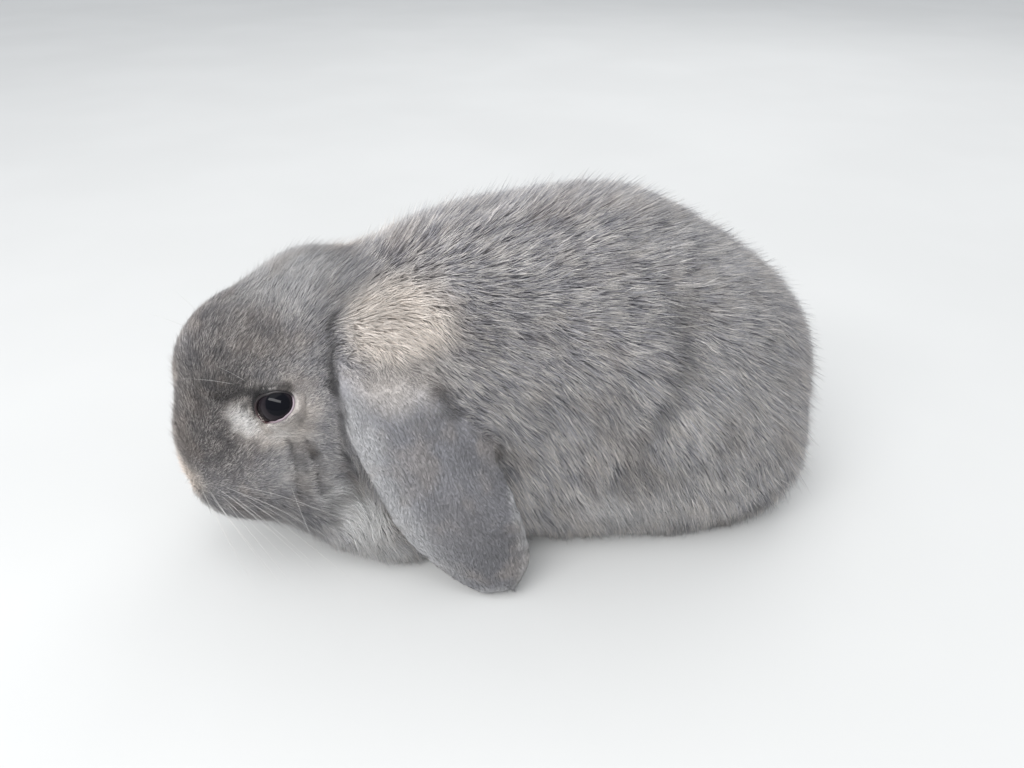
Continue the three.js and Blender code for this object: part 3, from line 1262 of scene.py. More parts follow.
@dataclass
class Skin:
    """One closed skin under the whole coat, inside the solids by the coat's depth.

    Where it is smoothed, the face, the ears and the feet are spared by the shares in spared.
    """

    voxel: float = 1.36 * MM
    closing: float = 0.4 * MM
    spared: Triple = (0.35, 0.75, 0.9)
    body_depth: float = 5.0 * MM
    low_depth: float = 1.5 * MM
    low_heights: tuple[float, float] = (7.0 * MM, 26.0 * MM)
    face_depth: float = 1.7 * MM
    jowl_depth: float = 3.2 * MM
    ear_depth: float = 0.5 * MM
    foot_depth: float = 1.8 * MM
    ear_root_depth: float = 1.8 * MM
    ear_root_heights: tuple[float, float] = (68.0 * MM, 90.0 * MM)
    ear_deepening: tuple[float, float] = (82.0 * MM, 95.0 * MM)
    ear_hold: float = 0.9
    lid_thickness: float = 1.1 * MM
    lid_gap: float = 0.25 * MM
    socket_depth: float = 2.6 * MM
    fold_depth: float = 1.6 * MM
    fine_reaches: tuple[float, float] = (13.0 * MM, 11.0 * MM)
    nose: Triple = (0.0, -50.0 * MM, -14.0 * MM)
    muzzle: Triple = (0.0, -30.0 * MM, -14.0 * MM)
    skull: Triple = (0.0, 0.0, -5.0 * MM)
    piece: bpy.types.Object = field(init=False)
    places: Array = field(init=False)
    normals: Array = field(init=False)
    triangles: Array = field(init=False)
    kind: Array = field(init=False)
    depth: Array = field(init=False)
    bare: Array = field(init=False)
    corner_uv: Array = field(init=False)
    tree: BVHTree = field(init=False)

    def build(self) -> None:
        """Makes the skin, its finish and what the coat reads from it."""
        solids, owners, mesh = self._remeshed()
        mesh = self._largest(mesh)
        self._fit(mesh, solids, owners)
        self._refine(mesh)
        self._shape_face(mesh)
        self.piece = shown("skin", mesh)
        self._unwrap()
        self._read(mesh)
        mark(mesh, self.places, self.kind)
        mesh.materials.append(COAT.material(on_tufts=False))
        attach(self.piece, "root")
        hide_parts(*FLESH)
        LOG.info("skin, %d triangles", len(self.triangles))

    def _solids(self) -> tuple[Array, Array, Array]:
        """The flesh and the eyeballs as loose closed shapes, grown until they meet.

        Returns:
            Vertex places, triangles, and the number of each triangle's region.
        """
        places: list[Array] = []
        faces: list[Array] = []
        owners: list[int] = []
        start = 0
        for name in (*FLESH, "eye_left", "eye_right"):
            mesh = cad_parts[name].data
            raw = corners_of(mesh)
            _, first, back = np.unique(
                np.round(raw / 1e-6), axis=0, return_index=True, return_inverse=True
            )
            merged = raw[first]
            face = back.ravel()[triangles_of(mesh)]
            a, b, c = face.T
            face = face[(a != b) & (b != c) & (a != c)]
            a, b, c = (merged[face[:, corner]] for corner in range(3))
            across = np.cross(b - a, c - a)
            standing = np.zeros_like(merged)
            for corner in range(3):
                np.add.at(standing, face[:, corner], across)
            places.append(merged + unit(standing) * self.closing)
            faces.append(face + start)
            owners += [FLESH.get(name, Region.FACE).value] * len(face)
            start += len(merged)
        return np.concatenate(places), np.concatenate(faces), np.array(owners)

    def _remeshed(self) -> tuple[BVHTree, Array, bpy.types.Mesh]:
        """The solids run together into one even mesh.

        Returns:
            The loose solids, the region of each of their triangles, and the mesh.
        """
        places, faces, owners = self._solids()
        rough = shown("rough_skin", mesh_from("rough_skin", places, faces))
        remesh = rough.modifiers.new("even", "REMESH")
        remesh.mode = "VOXEL"
        remesh.voxel_size = self.voxel
        mesh = plain_mesh(rough)
        bpy.data.objects.remove(rough)
        return BVHTree.FromPolygons(places.tolist(), faces.tolist()), owners, mesh

    @staticmethod
    def _largest(mesh: bpy.types.Mesh) -> bpy.types.Mesh:
        """Finds the largest connected shell of a mesh of quads.

        Each vertex takes the lowest number among its neighbours until nothing changes.

        Args:
            mesh: The mesh.

        Returns:
            A mesh of that shell alone.
        """
        edges = edges_of(mesh)
        label = np.arange(len(mesh.vertices))
        while True:
            low = np.minimum(label[edges[:, 0]], label[edges[:, 1]])
            fresh = label.copy()
            np.minimum.at(fresh, edges[:, 0], low)
            np.minimum.at(fresh, edges[:, 1], low)
            fresh = fresh[fresh]
            if np.array_equal(fresh, label):
                break
            label = fresh
        keep = label == np.argmax(np.bincount(label))
        faces = rows_of(mesh.polygons, "vertices", 4, np.int32)
        faces = faces[keep[faces[:, 0]]]
        number = np.cumsum(keep) - 1
        return mesh_from("skin", corners_of(mesh)[keep], number[faces])

    def _fit(self, mesh: bpy.types.Mesh, solids: BVHTree, owners: Array) -> None:
        """Smooths the shell and draws it inwards by the depth of the coat.

        Args:
            mesh: The shell, which also gets the coat's depth and the region shares.
            solids: The loose solids.
            owners: The region of each of their triangles.
        """
        edges = edges_of(mesh)
        places = corners_of(mesh)
        region = owners[[solids.find_nearest(place)[2] for place in places.tolist()]]
        shares = np.stack([region == r.value for r in (Region.FACE, Region.EAR, Region.FOOT)], axis=1)
        shares = shares.astype(float)
        height = places[:, 2] + ripples(places, 8.0 * MM, 51)[:, 0] * 4.0 * MM
        root = shares[:, 1] * ramp(height, *self.ear_root_heights)
        shares[:, 1] -= root
        lobe = ramp(evened(shares[:, 1], edges, [1.0] * 5), 0.1, 0.5)
        shares = evened(shares, edges, [1.0] * 14)
        root = evened(root, edges, [1.0] * 14)
        face, ear, foot = shares.T
        on_face, on_ear, on_foot = self.spared
        ease = np.clip(1.0 - on_face * face - on_ear * (ear + root) - on_foot * foot, 0.05, 1.0)
        places = evened(places, edges, FIRM_PASS * 45, ease)
        places = evened(places, edges, [0.5] * 6, ease)
        places = evened(places, edges, FIRM_PASS * 8)
        held = np.array([solids.find_nearest(place)[0] for place in places.tolist()])
        places += (held - places) * self.ear_hold * lobe[:, None]
        places = evened(places, edges, GENTLE_PASS * 4)
        places = evened(places, edges, FIRM_PASS * 14, lobe)
        move_corners(mesh, places)
        depth = evened(self._depths(places, shares, root), edges, [1.0] * 10)
        depth = evened(depth + (self.ear_depth - depth) * lobe, edges, [1.0] * 2)
        inward = unit(evened(normals_of(mesh), edges, [0.8] * 3))
        places = places - inward * (depth + self.closing)[:, None]
        move_corners(mesh, evened(places, edges, GENTLE_PASS * 8))
        set_attribute(mesh, "depth", depth)
        set_attribute(mesh, "kind", shares)

    def _depths(self, places: Array, shares: Array, root: Array) -> Array:
        """How deep the coat is over the smoothed shell.

        Args:
            places: Rows of places on the shell.
            shares: Shares of face, ear and foot there.
            root: Share of the ear's furry root there.

        Returns:
            A depth in metres for each place.
        """
        face, ear, foot = shares.T
        local = HEAD.inward(places)
        back = np.maximum(ramp(local[:, 1], 0.0, 26.0 * MM), ramp(local[:, 2], -16.0 * MM, -34.0 * MM))
        on_face = self.face_depth + (self.jowl_depth - self.face_depth) * back
        low = ramp(places[:, 2], *self.low_heights)
        on_body = self.low_depth + (self.body_depth - self.low_depth) * low
        high = ramp(places[:, 2], *self.ear_deepening)
        on_root = self.ear_root_depth + (self.body_depth - self.ear_root_depth) * high
        body = np.clip(1.0 - face - ear - foot, 0.0, 1.0)
        depth = (body - root) * on_body + face * on_face + ear * self.ear_depth
        return depth + (foot * self.foot_depth + root * on_root)

    def _refine(self, mesh: bpy.types.Mesh) -> None:
        """Cuts the faces round the eyes and the nose into smaller ones, twice.

        Args:
            mesh: The fitted skin.
        """
        work = bmesh.new()
        work.from_mesh(mesh)
        for reach in self.fine_reaches:
            work.verts.ensure_lookup_table()
            places = mirrored_left(HEAD.inward(np.array([vert.co for vert in work.verts])))
            near = np.zeros(len(places), dtype=bool)
            for middle in (HEAD.eye_place, self.nose):
                near |= np.linalg.norm(places - np.array(middle), axis=1) < reach
            edges = [edge for edge in work.edges if all(near[vert.index] for vert in edge.verts)]
            bmesh.ops.subdivide_edges(work, edges=edges, cuts=1, use_grid_fill=True, smooth=0.0)
            work.verts.index_update()
        bmesh.ops.triangulate(work, faces=[f for f in work.faces if len(f.verts) > 4])
        work.to_mesh(mesh)
        work.free()

    def _shape_face(self, mesh: bpy.types.Mesh) -> None:
        """Opens the lids over the eyeballs and cuts the nostrils, the mouth and the folds.

        Args:
            mesh: The fitted skin, which also gets an attribute for where it is bare.
        """
        local = HEAD.inward(corners_of(mesh))
        side = np.where(local[:, 0] < 0.0, -1.0, 1.0)
        local = mirrored_left(local)
        eye = np.array(HEAD.eye_place)
        distance, share, _ = OPENING.polar(local)
        near = distance < OPENING.radius + 6.0 * MM
        lid = OPENING.radius + self.lid_gap + self.lid_thickness * ramp(share, 1.0, 1.35)
        socket = OPENING.radius - self.socket_depth * ramp(share, 1.0, 0.86)
        wanted = np.where(share < 1.0, socket, lid)
        mixed = wanted + (np.maximum(distance, lid) - wanted) * ramp(share, 1.25, 1.9)
        moved = eye + unit(local - eye) * mixed[:, None]
        local = np.where((near & (share < 2.2))[:, None], moved, local)
        bare = np.where(near, 1.0 - ramp(share, 1.08, 1.14), 0.0)
        inward = unit(local - np.array(self.muzzle))
        for line in (NOSTRIL, LIP_SPLIT, MOUTH):
            press = line.near(local)
            local = local - inward * (press * MM)[:, None]
            bare = np.maximum(bare, press / line.amount)
        inward = unit(local - np.array(self.skull))
        for line in (BROW_FOLD, *CHEEK_FOLDS, JAW_FOLD):
            local = local - inward * (line.near(local) * self.fold_depth)[:, None]
        local[:, 0] = np.maximum(local[:, 0], 0.0) * side
        move_corners(mesh, HEAD.outward(local))
        set_attribute(mesh, "bare", bare)

    def _unwrap(self) -> None:
        """Lays the skin out flat in a map that the coat shares."""
        layer = self.piece.data.uv_layers.new(name="OFBake")
        layer.active = True
        bpy.context.view_layer.objects.active = self.piece
        self.piece.select_set(True)
        bpy.ops.object.mode_set(mode="EDIT")
        bpy.ops.mesh.select_all(action="SELECT")
        bpy.ops.uv.smart_project(angle_limit=math.radians(70.0), island_margin=0.003)
        bpy.ops.object.mode_set(mode="OBJECT")
        self.piece.select_set(False)

    def _read(self, mesh: bpy.types.Mesh) -> None:
        """Keeps the skin's arrays for the coat.

        Args:
            mesh: The finished skin.
        """
        self.places = corners_of(mesh)
        self.normals = normals_of(mesh)
        self.triangles = triangles_of(mesh)
        spread = rows_of(mesh.uv_layers["OFBake"].uv, "vector", 2)
        self.corner_uv = spread[rows_of(mesh.loop_triangles, "loops", 3, np.int32)]
        self.depth = stored(mesh, "depth", 1)
        self.bare = stored(mesh, "bare", 1)[:, 0]
        self.kind = stored(mesh, "kind", 3)
        mesh.attributes.remove(mesh.attributes["kind"])
        self.tree = BVHTree.FromPolygons(self.places.tolist(), self.triangles.tolist())

    def settled(self, places: Array) -> tuple[Array, Array]:
        """Brings places down onto the skin.

        Args:
            places: Rows of places near the skin.

        Returns:
            The nearest places on the skin, and the skin's normals there.
        """
        found = [self.tree.find_nearest(place) for place in places.tolist()]
        down = np.array([hit[0] for hit in found])
        corner = self.triangles[np.array([hit[2] for hit in found])]
        return down, unit(self.normals[corner].mean(axis=1))


# ---- Coat ----
@dataclass(frozen=True)
class LieOfCoat:
    """Which way the coat lies at places on the skin, as directions that aren't yet of length one."""

    places: Array
    normals: Array
    kind: Array

    def way(self) -> Array:
        """Mixes the ways of all regions and lays them down on the skin.

        Returns:
            Unit directions along the skin.
        """
        kind = self.kind
        rest = np.clip(1.0 - kind.sum(axis=1), 0.0, 1.0)
        way = self._body() * rest[:, None] + self._face() * kind[:, :1]
        return flattened(way + self._ear() * kind[:, 1:2] + self._foot() * kind[:, 2:], self.normals)

    def _stacked(self, x: Any, y: Any, z: Any) -> Array:
        """Rows of x, y and z, each a number or one number for each place."""
        return np.stack([np.broadcast_to(part, len(self.places)) for part in (x, y, z)], axis=1)

    def _body(self) -> Array:
        """Backwards along the back, down the sides, the rump and the chest, and over the ear's root.

        Returns:
            Rows of directions.
        """
        x, y, z = self.places.T
        rump = ramp(y, 60.0 * MM, 118.0 * MM)
        low = ramp(z, 108.0 * MM, 36.0 * MM)
        sides = low * (0.6 + 0.9 * ramp(y, -10.0 * MM, 55.0 * MM))
        fall = 0.12 + 0.1 * np.abs(self.normals[:, 0]) + sides + 0.7 * rump
        way = unit(self._stacked(0.12 * self.normals[:, 0], 1.0 - 0.75 * rump - 0.25 * low, -fall))
        chest = (ramp(-self.normals[:, 1], 0.2, 0.8) * ramp(z, 70.0 * MM, 50.0 * MM))[:, None]
        way = unit(way * (1.0 - chest) + np.array([0.0, 0.25, -1.0]) * chest)
        drape = np.exp(-(((y + 50.0 * MM) / (17.0 * MM)) ** 2)) * ramp(np.abs(x), 16.0 * MM, 30.0 * MM)
        drape = (drape * ramp(z, 66.0 * MM, 84.0 * MM))[:, None]
        return way * (1.0 - drape) + self._stacked(np.sign(x) * 0.7, 0.55, -0.75) * drape

    def _face(self) -> Array:
        """Away from the nose, and round the eye.

        Returns:
            Rows of directions.
        """
        local = HEAD.inward(self.places)
        away = unit(local - np.array([0.0, -60.0, -14.0]) * MM)
        from_eye = mirrored_left(local) - np.array(HEAD.eye_place)
        close = np.exp(-((np.linalg.norm(from_eye, axis=1) - 8.0 * MM) / (5.0 * MM)) ** 2)
        outside = unit(from_eye) * self._stacked(np.sign(local[:, 0]), 1.0, 1.0)
        way = away + outside * (0.9 * close)[:, None] + np.array([0.0, 0.35, 0.0])
        return HEAD.turned(unit(way))

    def _ear(self) -> Array:
        """Out over the crown at the root, and down along the lobe.

        Returns:
            Rows of directions.
        """
        outward = np.sign(self.places[:, 0])
        hang = ramp(self.places[:, 2], 96.0 * MM, 80.0 * MM)[:, None]
        over = self._stacked(outward, 0.25, -0.1)
        return over * (1.0 - hang) + self._stacked(0.28 * outward, 0.36, -0.9) * hang

    def _foot(self) -> Array:
        """Forwards along the feet, and down and outwards in front of the chest.

        Returns:
            Rows of directions.
        """
        x, y, _ = self.places.T
        chest = ramp(y, -45.0 * MM, -60.0 * MM)
        return self._stacked(0.4 * np.sign(x) * chest, -1.0 + 0.4 * chest, -0.15 - 0.8 * chest)


@dataclass(frozen=True)
class Roots:
    """Where the tufts of one coat stand, one row for each."""

    places: Array
    normals: Array
    kind: Array
    depth: Array
    spread: Array
    chance: Array


TUFT_FACES = np.array([(0, 1, 2), (0, 3, 1), (1, 3, 2), (2, 3, 0)])
TUFT_ALONG = np.array([0.0, 0.0, 0.0, 1.0])
TUFT_ACROSS = np.array([-0.5, 0.5, 0.0, 0.0])


@dataclass
class Coat:
    """Tufts of solid mesh over one region of the skin.

    A tuft is a closed spike with three corners at its root and one at its tip. Its length and
    lift are given as shares of the coat's depth at its root. Some are longer guard hairs. A
    tuft is cut short where the skin at its tip faces another way or lies too far off.
    """

    name: str
    region: Region
    slot: str
    count: int
    pieces: int
    length: float
    width: float
    seed: int
    lift: float = 1.0
    lock: float = 5.0 * MM
    gather: float = 0.3
    stray: float = 0.22
    fringe: float = 0.0
    fringe_heights: tuple[float, float] = (28.0 * MM, 9.0 * MM)
    hem_heights: tuple[float, float] = (15.0 * MM, 9.0 * MM)
    guards: float = 0.09
    guard_length: float = 1.3
    guard_lift: float = 1.9
    lengths: tuple[float, float] = (0.7, 1.2)
    lifts: tuple[float, float] = (0.5, 1.05)
    widths: tuple[float, float] = (0.7, 1.25)
    border: tuple[float, float] = (0.25, 0.75)
    least_facing: float = 0.3
    most_slip: float = 0.45
    short_length: float = 0.4
    short_lift: float = 0.75
    sunk: float = 0.3 * MM
    lowest: float = 0.3 * MM
    patch: float = 0.003

    def build(self, skin: Skin) -> None:
        """Grows the tufts and shows them.

        Args:
            skin: The skin that they stand on.
        """
        dice = np.random.default_rng(self.seed)
        roots = self._roots(skin, dice)
        swirl = ripples(roots.places, 11.0 * MM, self.seed + 100) * 0.16
        swirl = swirl + dice.normal(0.0, self.stray, (self.count, 3))
        way = LieOfCoat(roots.places, roots.normals, roots.kind).way()
        way = flattened(way + swirl, roots.normals)
        length, lift = self._sizes(roots, dice)
        tips = self._gathered(roots.places, self._tips(skin, roots, way, length, lift))
        self._show(self._tufts(roots, tips, dice), roots)
        LOG.info("%s, %d tufts in %d pieces", self.name, self.count, self.pieces)

    def _roots(self, skin: Skin, dice: np.random.Generator) -> Roots:
        """Picks the roots and reads the skin there.

        Args:
            skin: The skin.
            dice: The coat's random numbers.

        Returns:
            The roots.
        """
        triangle, share = self._scatter(skin, dice)
        corner = skin.triangles[triangle]
        return Roots(
            self._mixed(skin.places[corner], share),
            unit(self._mixed(skin.normals[corner], share)),
            self._mixed(skin.kind[corner], share),
            self._mixed(skin.depth[corner], share)[:, 0],
            self._mixed(skin.corner_uv[triangle], share),
            dice.random(self.count),
        )

    @staticmethod
    def _mixed(corners: Array, share: Array) -> Array:
        """Values of triangles' corners, mixed by the shares of the corners."""
        return np.einsum("ij,ijk->ik", share, corners)

    def _scatter(self, skin: Skin, dice: np.random.Generator) -> tuple[Array, Array]:
        """Picks where the tufts stand, spread evenly over the region.

        Args:
            skin: The skin.
            dice: The coat's random numbers.

        Returns:
            A triangle for each tuft, and its shares of the triangle's corners.
        """
        rest = np.clip(1.0 - skin.kind.sum(axis=1), 0.0, 1.0)
        shares = np.concatenate([rest[:, None], skin.kind], axis=1)
        own = ramp(shares[:, self.region.value], *self.border)
        a, b, c = (skin.places[skin.triangles[:, corner]] for corner in range(3))
        area = np.linalg.norm(np.cross(b - a, c - a), axis=1)
        area = area * own[skin.triangles].mean(axis=1) * (skin.bare[skin.triangles].max(axis=1) < 0.5)
        total = np.cumsum(area)
        wanted = (np.arange(self.count) + dice.random(self.count)) * total[-1] / self.count
        triangle = np.minimum(np.searchsorted(total, wanted), len(area) - 1)
        first, second = dice.random((2, self.count))
        root = np.sqrt(first)
        return triangle, np.stack([1.0 - root, root * (1.0 - second), root * second], axis=1)

    def _sizes(self, roots: Roots, dice: np.random.Generator) -> tuple[Array, Array]:
        """How long each tuft is, and how high its tip stands above the skin.

        Args:
            roots: The roots.
            dice: The coat's random numbers.

        Returns:
            The lengths and the lifts in metres.
        """
        guard = dice.random(self.count) < self.guards
        length = self.length * roots.depth * dice.uniform(*self.lengths, self.count)
        length *= np.where(guard, self.guard_length, 1.0)
        ragged = 1.0 + 0.5 * ripples(roots.places, 9.0 * MM, self.seed + 400)[:, 0]
        length *= 1.0 + self.fringe * ragged * ramp(roots.places[:, 2], *self.fringe_heights)
        lift = roots.depth * self.lift * dice.uniform(*self.lifts, self.count)
        lift *= np.where(guard, self.guard_lift, 1.0)
        lift *= 1.0 + 0.15 * ripples(roots.places, 8.0 * MM, self.seed + 200)[:, 0]
        return length, lift

    def _tips(self, skin: Skin, roots: Roots, way: Array, length: Array, lift: Array) -> Array:
        """Where the tufts end, above the skin that they lie along.

        A tuft that would leave its own side of the skin, as at the ear's edge, is shortened.
        A tuft of the hem hangs down from the body's lower edge.

        Args:
            skin: The skin.
            roots: The roots.
            way: The direction of each tuft along the skin.
            length: The length of each tuft.
            lift: How high each tip stands.

        Returns:
            Rows of places.
        """
        hem = ramp(roots.places[:, 2], *self.hem_heights) * ramp(roots.normals[:, 2], -0.85, -0.5)
        hem = (self.fringe * hem > 0.5)[:, None]
        down = unit(way + np.array([0.0, 0.0, -1.0]))
        aim = roots.places + np.where(hem, down, way) * length[:, None]
        found, fresh = skin.settled(aim)
        turned = np.sum(fresh * roots.normals, axis=1) < self.least_facing
        slipped = np.linalg.norm(found - aim, axis=1) > length * self.most_slip
        astray = (turned | slipped)[:, None]
        short = roots.places + way * (length * self.short_length)[:, None]
        tips = np.where(hem, aim, np.where(astray, short, found))
        up = np.where(astray, roots.normals, fresh)
        return tips + up * np.where(astray, self.short_lift * lift[:, None], lift[:, None])

    def _gathered(self, roots: Array, tips: Array) -> Array:
        """Draws the tips of each small lock of tufts together.

        Args:
            roots: Where the tufts stand.
            tips: Where they end.

        Returns:
            The moved tips.
        """
        cell = np.floor((roots + ripples(roots, 7.0 * MM, self.seed + 300) * 2.0 * MM) / self.lock)
        _, number = np.unique(cell, axis=0, return_inverse=True)
        number = number.ravel()
        count = np.bincount(number)
        middle = np.stack([np.bincount(number, tips[:, axis]) / count for axis in range(3)], axis=1)
        return tips + (middle[number] - tips) * self.gather

    def _tufts(self, roots: Roots, tips: Array, dice: np.random.Generator) -> Array:
        """The corners of all tufts, none of them below the floor.

        Args:
            roots: The roots.
            tips: Where the tufts end.
            dice: The coat's random numbers.

        Returns:
            Rows of places, four for each tuft.
        """
        width = self.width * dice.uniform(*self.widths, self.count)[:, None]
        foot = roots.places - roots.normals * self.sunk
        side = unit(np.cross(tips - foot, roots.normals)) * width * 0.5
        corners = [foot - side, foot + side, foot + roots.normals * width * 0.4, tips]
        places = np.stack(corners, axis=1).reshape(-1, 3)
        places[:, 2] = np.maximum(places[:, 2], self.lowest)
        return places

    def _show(self, places: Array, roots: Roots) -> None:
        """Makes the pieces, each of which covers the whole region.

        Args:
            places: Vertex places, tuft by tuft.
            roots: The roots.
        """
        corners = len(TUFT_ALONG)
        finish = COAT.material(on_tufts=True)
        patch = self.patch * np.stack([TUFT_ALONG - 0.5, TUFT_ACROSS], axis=1)
        for number in range(self.pieces):
            pick = np.arange(number, self.count, self.pieces)
            own = places.reshape(-1, corners, 3)[pick].reshape(-1, 3)
            faces = (np.arange(len(pick))[:, None, None] * corners + TUFT_FACES).reshape(-1, 3)
            name = f"{self.name}_{number + 1}" if self.pieces > 1 else self.name
            mesh = mesh_from(name, own, faces)
            repeated = (np.repeat(rows[pick], corners, axis=0) for rows in (roots.places, roots.kind))
            mark(mesh, *repeated)
            set_attribute(mesh, "along", np.tile(TUFT_ALONG, len(pick)))
            set_attribute(mesh, "chance", np.repeat(roots.chance[pick], corners))
            uv = np.clip(roots.spread[pick][:, None] + patch, 0.001, 0.999).reshape(-1, 2)
            layer = mesh.uv_layers.new(name="OFBake")
            layer.uv.foreach_set("vector", uv[faces.ravel()].astype(np.float32).ravel())
            mesh.materials.append(finish)
            piece = shown(name, mesh)
            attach(piece, "root")


# ---- Whiskers and lashes ----
@dataclass(frozen=True)
class Bristles:
    """Fine stiff hairs, swept along their paths by a node tree."""

    name: str
    thickness: float
    colour: Colour
    tip_share: float = 0.3
    sides: int = 5

    def build(self, paths: Sequence[Array]) -> None:
        """Sweeps the bristles and shows them as one plain mesh.

        Args:
            paths: For each bristle, rows of places from its root to its tip.
        """
        steps = len(paths[0])
        start = (np.arange(len(paths))[:, None] * steps + np.arange(steps - 1)).ravel()
        mesh = bpy.data.meshes.new(self.name + "_paths")
        edges = np.stack([start, start + 1], axis=1)
        mesh.from_pydata(np.concatenate(paths).tolist(), edges.tolist(), [])
        set_attribute(mesh, "along", np.tile(np.linspace(0.0, 1.0, steps), len(paths)))
        source = shown(self.name + "_paths", mesh)
        tree = self._tree()
        sweep = source.modifiers.new("sweep", "NODES")
        sweep.node_group = tree
        sizes = {"Thickness": self.thickness, "Tip share": self.tip_share, "Sides": self.sides}
        for item in tree.interface.items_tree:
            if item.name in sizes:
                sweep[item.identifier] = sizes[item.name]
        swept = plain_mesh(source)
        source.modifiers.remove(sweep)
        bpy.data.objects.remove(source)
        piece = shown(self.name, swept)
        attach(piece, "root")
        LOG.info("%s, %d bristles", self.name, len(paths))

    def _tree(self) -> bpy.types.NodeTree:
        """Builds the node tree: paths to curves, a tapering radius, and a swept circle.

        Returns:
            The tree, with inputs for the thickness, the tip's share of it and the sides.
        """
        tree = bpy.data.node_groups.new(self.name + "_sweep", "GeometryNodeTree")
        inputs = {"Geometry": "Geometry", "Thickness": "Float", "Tip share": "Float", "Sides": "Int"}
        for name, kind in inputs.items():
            tree.interface.new_socket(name, in_out="INPUT", socket_type=f"NodeSocket{kind}")
        tree.interface.new_socket("Geometry", in_out="OUTPUT", socket_type="NodeSocketGeometry")
        graph = Graph(tree)
        given = graph.node("NodeGroupInput")
        paths, thickness, tip_share, sides = (Wire(graph, given.outputs[name]) for name in inputs)
        along = graph.wire("GeometryNodeInputNamedAttribute", Name="along")
        radius = graph.wire("ShaderNodeMapRange", _0=along, _3=1.0, _4=tip_share) * thickness
        curves = graph.wire("GeometryNodeMeshToCurve", Mesh=paths)
        circle = graph.wire("GeometryNodeCurvePrimitiveCircle", Resolution=sides, Radius=0.5)
        tube = graph.wire(
            "GeometryNodeCurveToMesh", Curve=curves, Profile_Curve=circle, Scale=radius, Fill_Caps=True
        )
        smooth = graph.wire("GeometryNodeSetShadeSmooth", Geometry=tube)
        real = graph.wire("GeometryNodeRealizeInstances", Geometry=smooth)
        finish = PlainFinish(self.name, self.colour, self.colour, 0.4).material()
        dressed = graph.wire("GeometryNodeSetMaterial", Geometry=real, Material=finish)
        graph.node("NodeGroupOutput", _0=dressed)
        return tree


@dataclass(frozen=True)
class Bristle:
    """Where one bristle grows, in millimetres of the head's frame, and which way."""

    root: Triple
    way: Triple
    length: float
    droop: float


BROW_AND_CHEEK_BRISTLES = (
    Bristle((19.0, -17.0, 19.0), (0.35, -0.45, 0.9), 24.0, 0.1),
    Bristle((20.5, -14.0, 18.5), (0.5, -0.1, 0.95), 20.0, 0.1),
    Bristle((28.0, -24.0, -19.0), (0.9, -0.2, -0.5), 22.0, 0.3),
)


@dataclass
class Whiskers:
    """The whiskers of the muzzle and the brow, and the upper lashes."""

    rows: int = 3
    columns: int = 5
    steps: int = 14
    thickness: float = 0.12 * MM
    tone: Colour = shade(0.56, 0.03, -0.03)
    lashes: int = 40
    lash_steps: int = 7
    lash_turns: tuple[float, float] = (12.0, 172.0)
    lash_lengths: tuple[float, float] = (1.6 * MM, 2.6 * MM)
    lash_thickness: float = 0.16 * MM
    lash_tone: Colour = shade(0.015, 0.1, 0.0)
    lash_height: float = 0.5 * MM
    lowest: float = 0.5 * MM
    seed: int = 7

    def build(self, skin: Skin) -> None:
        """Plans the paths on both sides and sweeps them.

        Args:
            skin: The skin that they grow from.
        """
        dice = np.random.default_rng(self.seed)
        paths = [self._path(skin, plan, side, dice) for side in (1.0, -1.0) for plan in self._plans()]
        Bristles("whiskers", self.thickness, self.tone).build(paths)
        Bristles("lashes", self.lash_thickness, self.lash_tone, 0.4).build(self._lash_paths(dice))

    def _plans(self) -> list[Bristle]:
        """Plans the whiskers of one side, longer and more swept back away from the nose.

        Returns:
            The rows of the muzzle, and those of the brow and cheek.
        """
        made = []
        for row in range(self.rows):
            for column in range(self.columns):
                root = (11.0 + 2.4 * column, -49.0 + 2.6 * column, -11.5 - 3.0 * row)
                way = (1.0, 0.05 + 0.16 * column - 0.1 * row, 0.12 - 0.32 * row)
                made.append(Bristle(root, way, 26.0 + 4.0 * column - 2.0 * row, 0.25 + 0.1 * row))
        return [*made, *BROW_AND_CHEEK_BRISTLES]

    def _path(self, skin: Skin, plan: Bristle, side: float, dice: np.random.Generator) -> Array:
        """The path of one whisker, bent down by its weight.

        Args:
            skin: The skin it grows from.
            plan: Where and how it grows.
            side: 1 for the left, -1 for the right.
            dice: Random numbers.

        Returns:
            Rows of places from root to tip.
        """
        mirror = np.array([side, 1.0, 1.0])
        root, _ = skin.settled(HEAD.outward(np.array([plan.root]) * mirror * MM))
        way = unit(HEAD.turned(np.array(plan.way) * mirror + dice.normal(0.0, 0.06, 3)))
        length = plan.length * dice.uniform(0.85, 1.15) * MM
        t = np.linspace(0.0, 1.0, self.steps)[:, None]
        bend = np.array([0.0, 0.35, -1.0]) * plan.droop * length
        path = root + way * length * t + bend * t**2
        path[:, 2] = np.maximum(path[:, 2], self.lowest)
        return path

    def _lash_paths(self, dice: np.random.Generator) -> list[Array]:
        """Short dark hairs along both upper lids, curling away from the eye.

        Args:
            dice: Random numbers.

        Returns:
            For each lash, rows of places from root to tip.
        """
        angle = np.radians(np.linspace(*self.lash_turns, self.lashes))
        root = OPENING.rim(angle, 1.03, self.lash_height)
        outer = unit(OPENING.rim(angle, 1.6, self.lash_height) - root)
        above = unit(root - np.array(HEAD.eye_place))
        way = unit(above * 0.9 + outer * 0.35 + dice.normal(0.0, 0.12, root.shape))
        paths = []
        t = np.linspace(0.0, 1.0, self.lash_steps)[:, None]
        for side in (1.0, -1.0):
            for start, toward, curl in zip(root, way, outer):
                length = dice.uniform(*self.lash_lengths)
                path = start + toward * length * t + curl * length * 0.35 * t**2
                paths.append(HEAD.outward(path * np.array([side, 1.0, 1.0])))
        return paths


